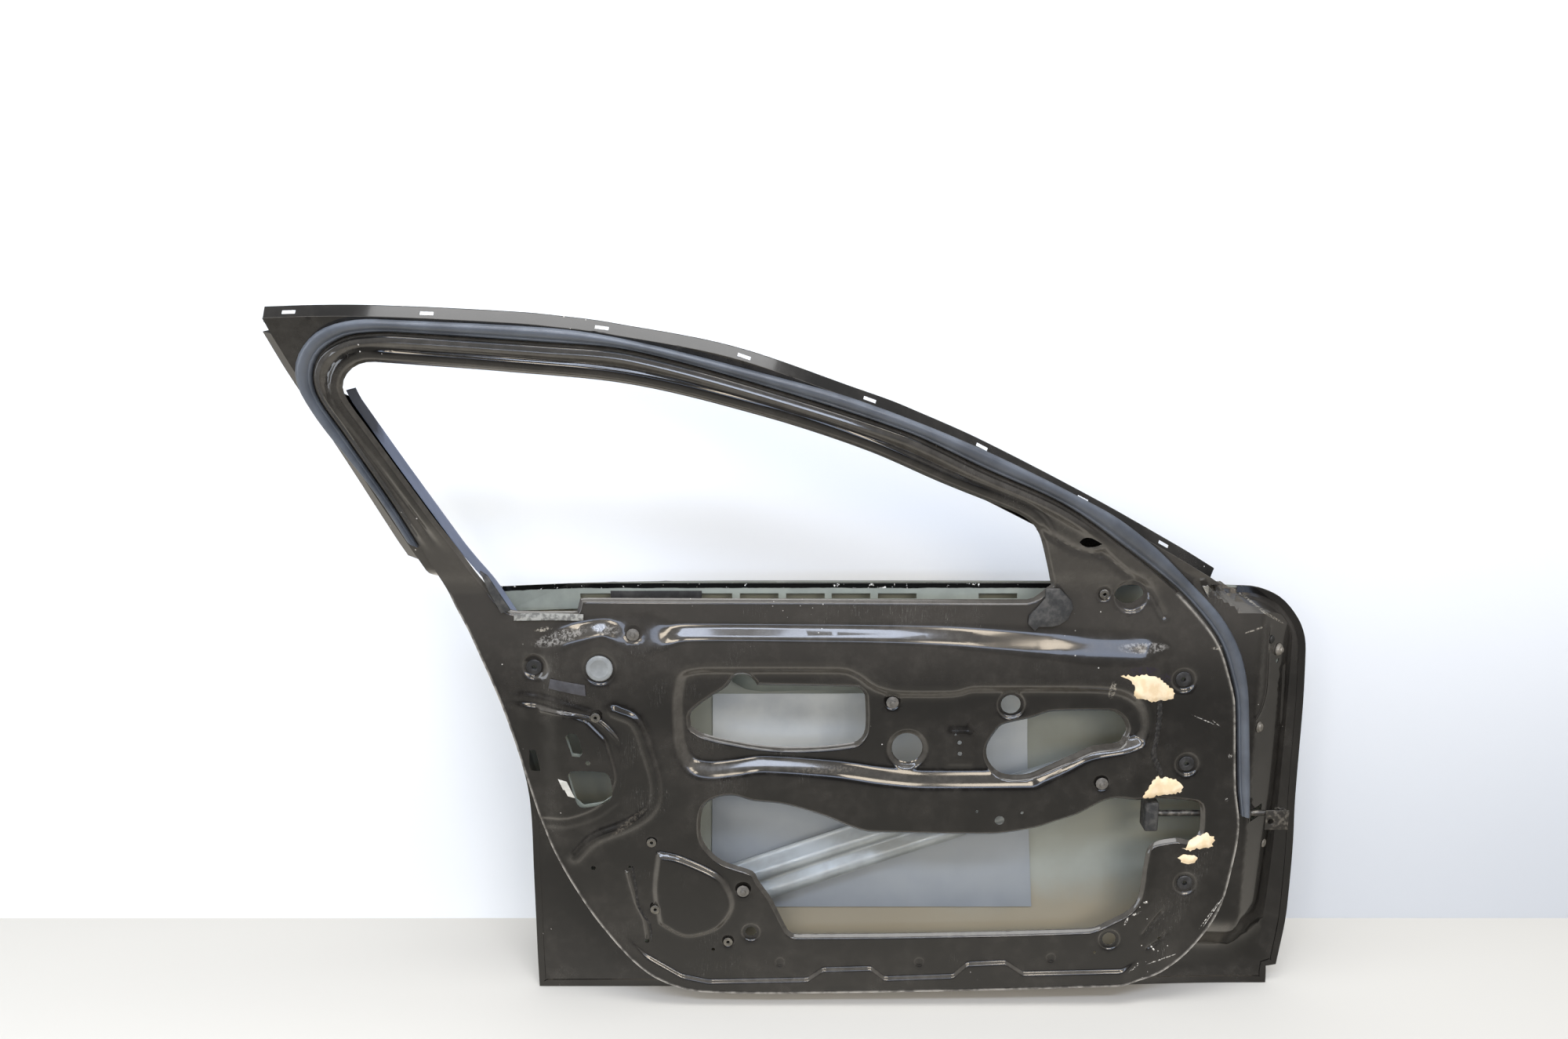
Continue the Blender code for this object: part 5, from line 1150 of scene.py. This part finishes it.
def slot_through(flange):
    """Punch the trim clip slots through the roof flange."""
    line = np.array(TOP_EDGE, dtype=float)
    for x in CLIP_SLOTS:
        z = float(np.interp(x, *line.T))
        tilt = math.atan2(float(np.interp(x + 10.0, *line.T)) - z, 10.0)
        centre = (x + 6.0 * math.sin(tilt), float(frame_base(z)) + 20.0, z - 6.0 * math.cos(tilt))
        bpy.ops.mesh.primitive_cube_add(size=1.0, location=at_layout(*centre), rotation=(0.0, -tilt, 0.0),
                                        scale=[v * MM for v in CLIP_SLOT])
        punch = bpy.context.object
        worked(flange, "BOOLEAN", operation="DIFFERENCE", solver="EXACT", object=punch)
        bpy.data.objects.remove(punch, do_unlink=True)


def resampled(line, count):
    """The same number of places, evenly along a line."""
    line = np.array(line)
    run = np.concatenate(([0.0], np.cumsum(np.hypot(*np.diff(line, axis=0).T))))
    along_it = np.linspace(0.0, run[-1], count)
    return np.column_stack([np.interp(along_it, run, axis) for axis in line.T])


def make_seal():
    """The door seal: a bulb with a lower lip, drawn round the window frame."""
    outer, inner = (resampled(drawn(line, False, 14.0), SEAL_STATIONS)
                    for line in (SEAL_OUTER, SEAL_INNER))
    verts = []
    for a, b in zip(outer, inner):
        for share, height in SEAL_SECTION:
            x, z = a + (b - a) * share
            verts.append((x, float(frame_base(z)) + SEAL_SEAT - height, z))
    width = len(SEAL_SECTION)
    faces = grid(SEAL_STATIONS, width, True) + [tuple(range(width))]
    faces.append(tuple(reversed(range((SEAL_STATIONS - 1) * width, SEAL_STATIONS * width))))
    seal = new_piece("door_seal_rubber", verts, faces, SEAL_RUBBER)
    edited(seal, OUTWARD)
    soften(seal, 60.0)
    stands_for(seal, "door_seal")


def dressed(node, material, bevel_mm=0.0, angle=38.0):
    """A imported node's shape with its edges broken and its facets blended, in its own finish."""
    source = nodes[node]
    piece = source.copy()
    piece.data = source.data.copy()
    piece.name = node + "_finished"
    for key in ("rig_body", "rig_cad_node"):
        if key in piece:
            del piece[key]
    piece.parent = None
    bpy.context.scene.collection.objects.link(piece)
    edited(piece, (bpy.ops.mesh.remove_doubles, {"threshold": 0.02 * MM}),
           (bpy.ops.mesh.dissolve_limited, {"angle_limit": math.radians(0.5)}))
    if bevel_mm:
        worked(piece, "BEVEL", width=bevel_mm * MM, segments=2, limit_method="ANGLE",
               angle_limit=math.radians(30.0))
    piece.data.materials.clear()
    piece.data.materials.append(material)
    soften(piece, angle)
    stands_for(piece, node, source["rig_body"])


def make_sealant():
    """The rough sealant bead between the two upper felt patches, and the one along the lower corner."""
    chance = random.Random(11)
    across = 9
    for name, line, width, height in SEALANT_LINES:
        line = np.array(drawn(line, False, 2.2))
        side = np.gradient(line, axis=0)
        side = np.column_stack((-side[:, 1], side[:, 0])) / np.hypot(*side.T)[:, None]
        spots_on, rises = [], []
        for i, (spot, lean) in enumerate(zip(line, side)):
            wide = width * (0.8 + 0.4 * chance.random()) * (0.35 if i in (0, len(line) - 1) else 1.0)
            for k in range(across):
                t = k / (across - 1) * 2.0 - 1.0
                spots_on.append(spot + lean * t * wide / 2.0)
                edge = k in (0, across - 1)
                rises.append(-0.4 if edge else
                             height * math.sqrt(1.0 - t * t) * (0.55 + 0.75 * chance.random()))
        spots_on = np.array(spots_on)
        verts = raised(spots_on, panel_y(*spots_on.T) - np.array(rises))
        bead = new_piece(name, verts, grid(len(line), across), BEAD_ADHESIVE)
        face_cabin(bead)
        soften(bead, 60.0)
        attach(bead, "door")


def torn_edge(outline, seed, depth=4.0, step=3.2):
    """An outline torn into fibres along its whole edge."""
    chance = random.Random(seed)
    line = divided(outline, True, step)
    torn = []
    for (x, z), (ox, oz) in zip(line, offset_line(line, True, 1.0)):
        pull = (chance.random() - 0.5) * depth * (1.6 if chance.random() > 0.8 else 0.7)
        torn.append((x + (ox - x) * pull, z + (oz - z) * pull))
    return torn


def make_felt():
    """Torn remains of the glued felt backing, thin at their fibrous edges."""
    for i, outline in enumerate(FELT_PATCHES):
        edge = torn_edge(outline, 20 + i)
        flat, tris = sheet_triangles(edge, [], [], 3.0, 1, 30.0)
        depth = np.clip(depth_inside(*flat.T, edge), 0.0, None)
        chance = np.random.RandomState(31 + i)
        rise = 0.5 + 2.0 * smooth(depth / 5.0) + 0.5 * chance.rand(len(flat)) * smooth(depth / 3.0)
        patch = new_piece("felt_remains_%d" % (i + 1), raised(flat, panel_y(*flat.T) - rise),
                          tris.tolist(), FELT)
        wall_of(patch, 0.5)
        soften(patch, 50.0)
        stands_for(patch, "felt_patch_%d" % (i + 1))


def make_dressed():
    """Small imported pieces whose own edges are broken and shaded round: bevel in mm, smooth angle."""
    for material, bevel_mm, angle, pieces in (
            (GROMMET_PLASTIC, 0.3, 38.0, ["grommet_%d" % i for i in range(1, 5)]),
            (ZINC, 0.2, 38.0, ["rivet_nut_%d" % i for i in range(1, 6)]),
            (STUD_PLASTIC, 0.3, 38.0, ["trim_stud_%d" % i for i in range(1, 5)]),
            (PLUG_RUBBER, 0.4, 38.0, ["round_plug"]),
            (DULL_ZINC, 0.3, 38.0, ["hinge_wall_boss", "hinge_wall_bolt", "lower_wall_plug"]),
            (CLIP_PLASTIC, 0.3, 38.0, ["upper_wall_plug"]),
            (BLACKED_STEEL, 0.3, 38.0, ["check_arm", "check_pin", "check_bracket"]),
            (PAD_RUBBER, 0.6, 38.0, ["check_end_stop"]),
            (CLIP_PLASTIC, 0.5, 38.0, ["check_housing"]),
            (PAD_RUBBER, 1.0, 38.0, ["front_belt_pad", "rear_belt_pad"]),
            (SPRING_STEEL, 0.3, 38.0, ["frame_clip"]),
            (BEAM_STEEL, 0.0, 30.0, ["impact_beam"]),
            (PRIMER, 0.2, 30.0, ["beam_bracket_front", "beam_bracket_rear", "handle_reinforcement",
                                 "hinge_reinforcement_upper", "hinge_reinforcement_lower",
                                 "latch_reinforcement"]),
            (belt_primer(), 0.0, 30.0, ["belt_outer_reinforcement"]),
            (PRIMER, 0.0, 30.0, ["belt_inner_reinforcement"]),
            (FRAME_PAINT, 0.0, 30.0, ["pillar_outer_panel", "mirror_outer_panel"]),
            (DAMPING, 0.0, 30.0, ["damping_sheet"]),
            (CLOTH_TAPE, 0.2, 38.0, ["belt_tape"]),
            (GREY_TAPE, 0.2, 38.0, ["tape_patch"]),
            (LABEL_FILM, 0.15, 38.0, ["blank_label"]),
            (ADHESIVE, 0.3, 38.0, ["belt_adhesive_strip"])):
        for node in pieces:
            dressed(node, material, bevel_mm, angle)


def screen(name, material, place, rotation=(0.0, 0.0, 0.0)):
    """A large plane of the studio."""
    bpy.ops.mesh.primitive_plane_add(size=14.0, location=place, rotation=rotation)
    made = bpy.context.object
    made.name = name
    made.data.materials.append(material)
    return made


def make_stage():
    """A pale floor, and a backdrop that stands where the wall meets it in the photograph."""
    # Painted floor, pale to the camera. To the door it is a warm grey with painted shade that darkens it away
    # from the door, and near the door's foot, but not beyond the hinge edge, it glows with painted light that
    # no lamp gives
    floor_paint, tree, place, shader = started("pale studio floor")
    from_door = add(tree, "Mapping", {"Vector": place, "Location": (0.45, 0.25, 0.0),
                                      "Scale": (0.75, 1.1, 0.0)})
    far = add(tree, "VectorMath", (from_door,), "Value", operation="LENGTH")
    # Painted shade: darker away from the door
    dim = laid_over(tree, linear("B8B2A5"), "837F77", add(tree, "MapRange", (far, 0.5, 1.8), **SOFT))
    ray = add(tree, "LightPath", out="Is Camera Ray")
    unseen = add(tree, "Math", (1.0, ray), operation="SUBTRACT")
    # Painted glow: the floor emits light near the door's foot
    glow = product(tree, along(tree, place, "Y", -0.55, -0.05, 0.0, 0.55),
                   along(tree, place, "X", 0.50, 0.66, 1.0, 0.0), unseen)
    feed(shader, {"Base Color": laid_over(tree, dim, "D6D4CE", ray), "Roughness": 0.7,
                  "Emission Color": linear("F3EDE2"), "Emission Strength": glow})
    floor = screen("studio_floor", floor_paint, (-0.6, 0.0, FLOOR))
    # Backdrop cloth, matt, with painted shade that darkens its foot; it shows only from its front
    cloth, tree, place, shader = started("pale studio backdrop")
    pale = laid_over(tree, linear("D9DEE4"), "F4F8FC", along(tree, place, "Y", -6.95, -6.1))
    feed(shader, {"Base Color": pale, "Roughness": 0.9})
    back, clear = add(tree, "NewGeometry", out="Backfacing"), add(tree, "BsdfTransparent")
    shown = add(tree, "MixShader", (back, shader.outputs[0], clear))
    feed(tree.nodes["Material Output"], {"Surface": shown})
    wall = screen("studio_backdrop", cloth, (-0.6, WALL, FLOOR + 7.0), (math.pi / 2.0, 0.0, 0.0))
    wall.visible_diffuse = wall.visible_glossy = wall.visible_transmission = wall.visible_shadow = False


def lamp(name, place, target, size, power, colour):
    """A soft box at a place, turned to its target; it isn't seen itself."""
    bpy.ops.object.light_add(type="AREA", location=place)
    made = bpy.context.object
    made.name = name
    made.data.shape, made.data.size, made.data.size_y = "RECTANGLE", size[0], size[1]
    made.data.energy = power
    made.data.color = linear(colour)[:3]
    made.rotation_euler = (Vector(target) - Vector(place)).to_track_quat("-Z", "Y").to_euler()
    made.visible_camera = False


def make_lights():
    """Soft boxes above and behind the camera, and a dim pale room."""
    middle = (-0.6, 0.0, 0.0)
    lamp("window_row", (-0.45, -2.6, 2.45), middle, (3.4, 0.4), 62.0, "DCE8FF")
    for i, x in enumerate((-1.9, -1.2, 0.1, 0.62, 1.05)):
        lamp("window_pane_%d" % i, (x, -3.0, 1.25), middle, (0.34, 0.5), 9.0, "FFF0DA")
    lamp("daylight_strip", (-0.5, -3.1, 0.75), middle, (3.6, 0.3), 20.0, "CFE0FF")
    lamp("side_window", (-2.7, -0.9, 0.3), (-1.2, 0.0, 0.0), (0.5, 1.6), 14.0, "E6ECF5")
    lamp("overhead_box", (-0.6, -0.9, 2.9), middle, (2.6, 1.2), 55.0, "FFFFFF")
    world = bpy.data.worlds.new("pale room")
    bpy.context.scene.world = world
    world.use_nodes = True
    tree = world.node_tree
    ground = tree.nodes["Background"]
    sky = add(tree, "TexCoord", out="Generated")
    feed(ground, {"Color": linear("E6E6E6"), "Strength": along(tree, sky, "Z", 0.05, 0.9, 0.22, 0.9)})
    seen = add(tree, "Background", {"Color": linear("F0F4FA"), "Strength": 1.0})
    both = add(tree, "MixShader", (add(tree, "LightPath", out="Is Camera Ray"), ground.outputs[0], seen))
    feed(tree.nodes["World Output"], {"Surface": both})


def make_camera():
    """The photograph's view: a 30 mm lens, level sideways and 13 degrees down."""
    bpy.ops.object.camera_add(location=(-0.706, -1.790, 0.650), rotation=(math.radians(77.0), 0.0, 0.0))
    camera = bpy.context.object
    camera.data.lens, camera.data.sensor_width = 30.0, 36.0
    bpy.context.scene.camera = camera


bpy.context.scene.view_settings.view_transform = "Standard"
make_panel()
make_skin()
make_frame_sheets()
make_seal()
make_dressed()
make_felt()
make_sealant()
make_stage()
make_lights()
make_camera()
bpy.ops.object.select_all(action="DESELECT")
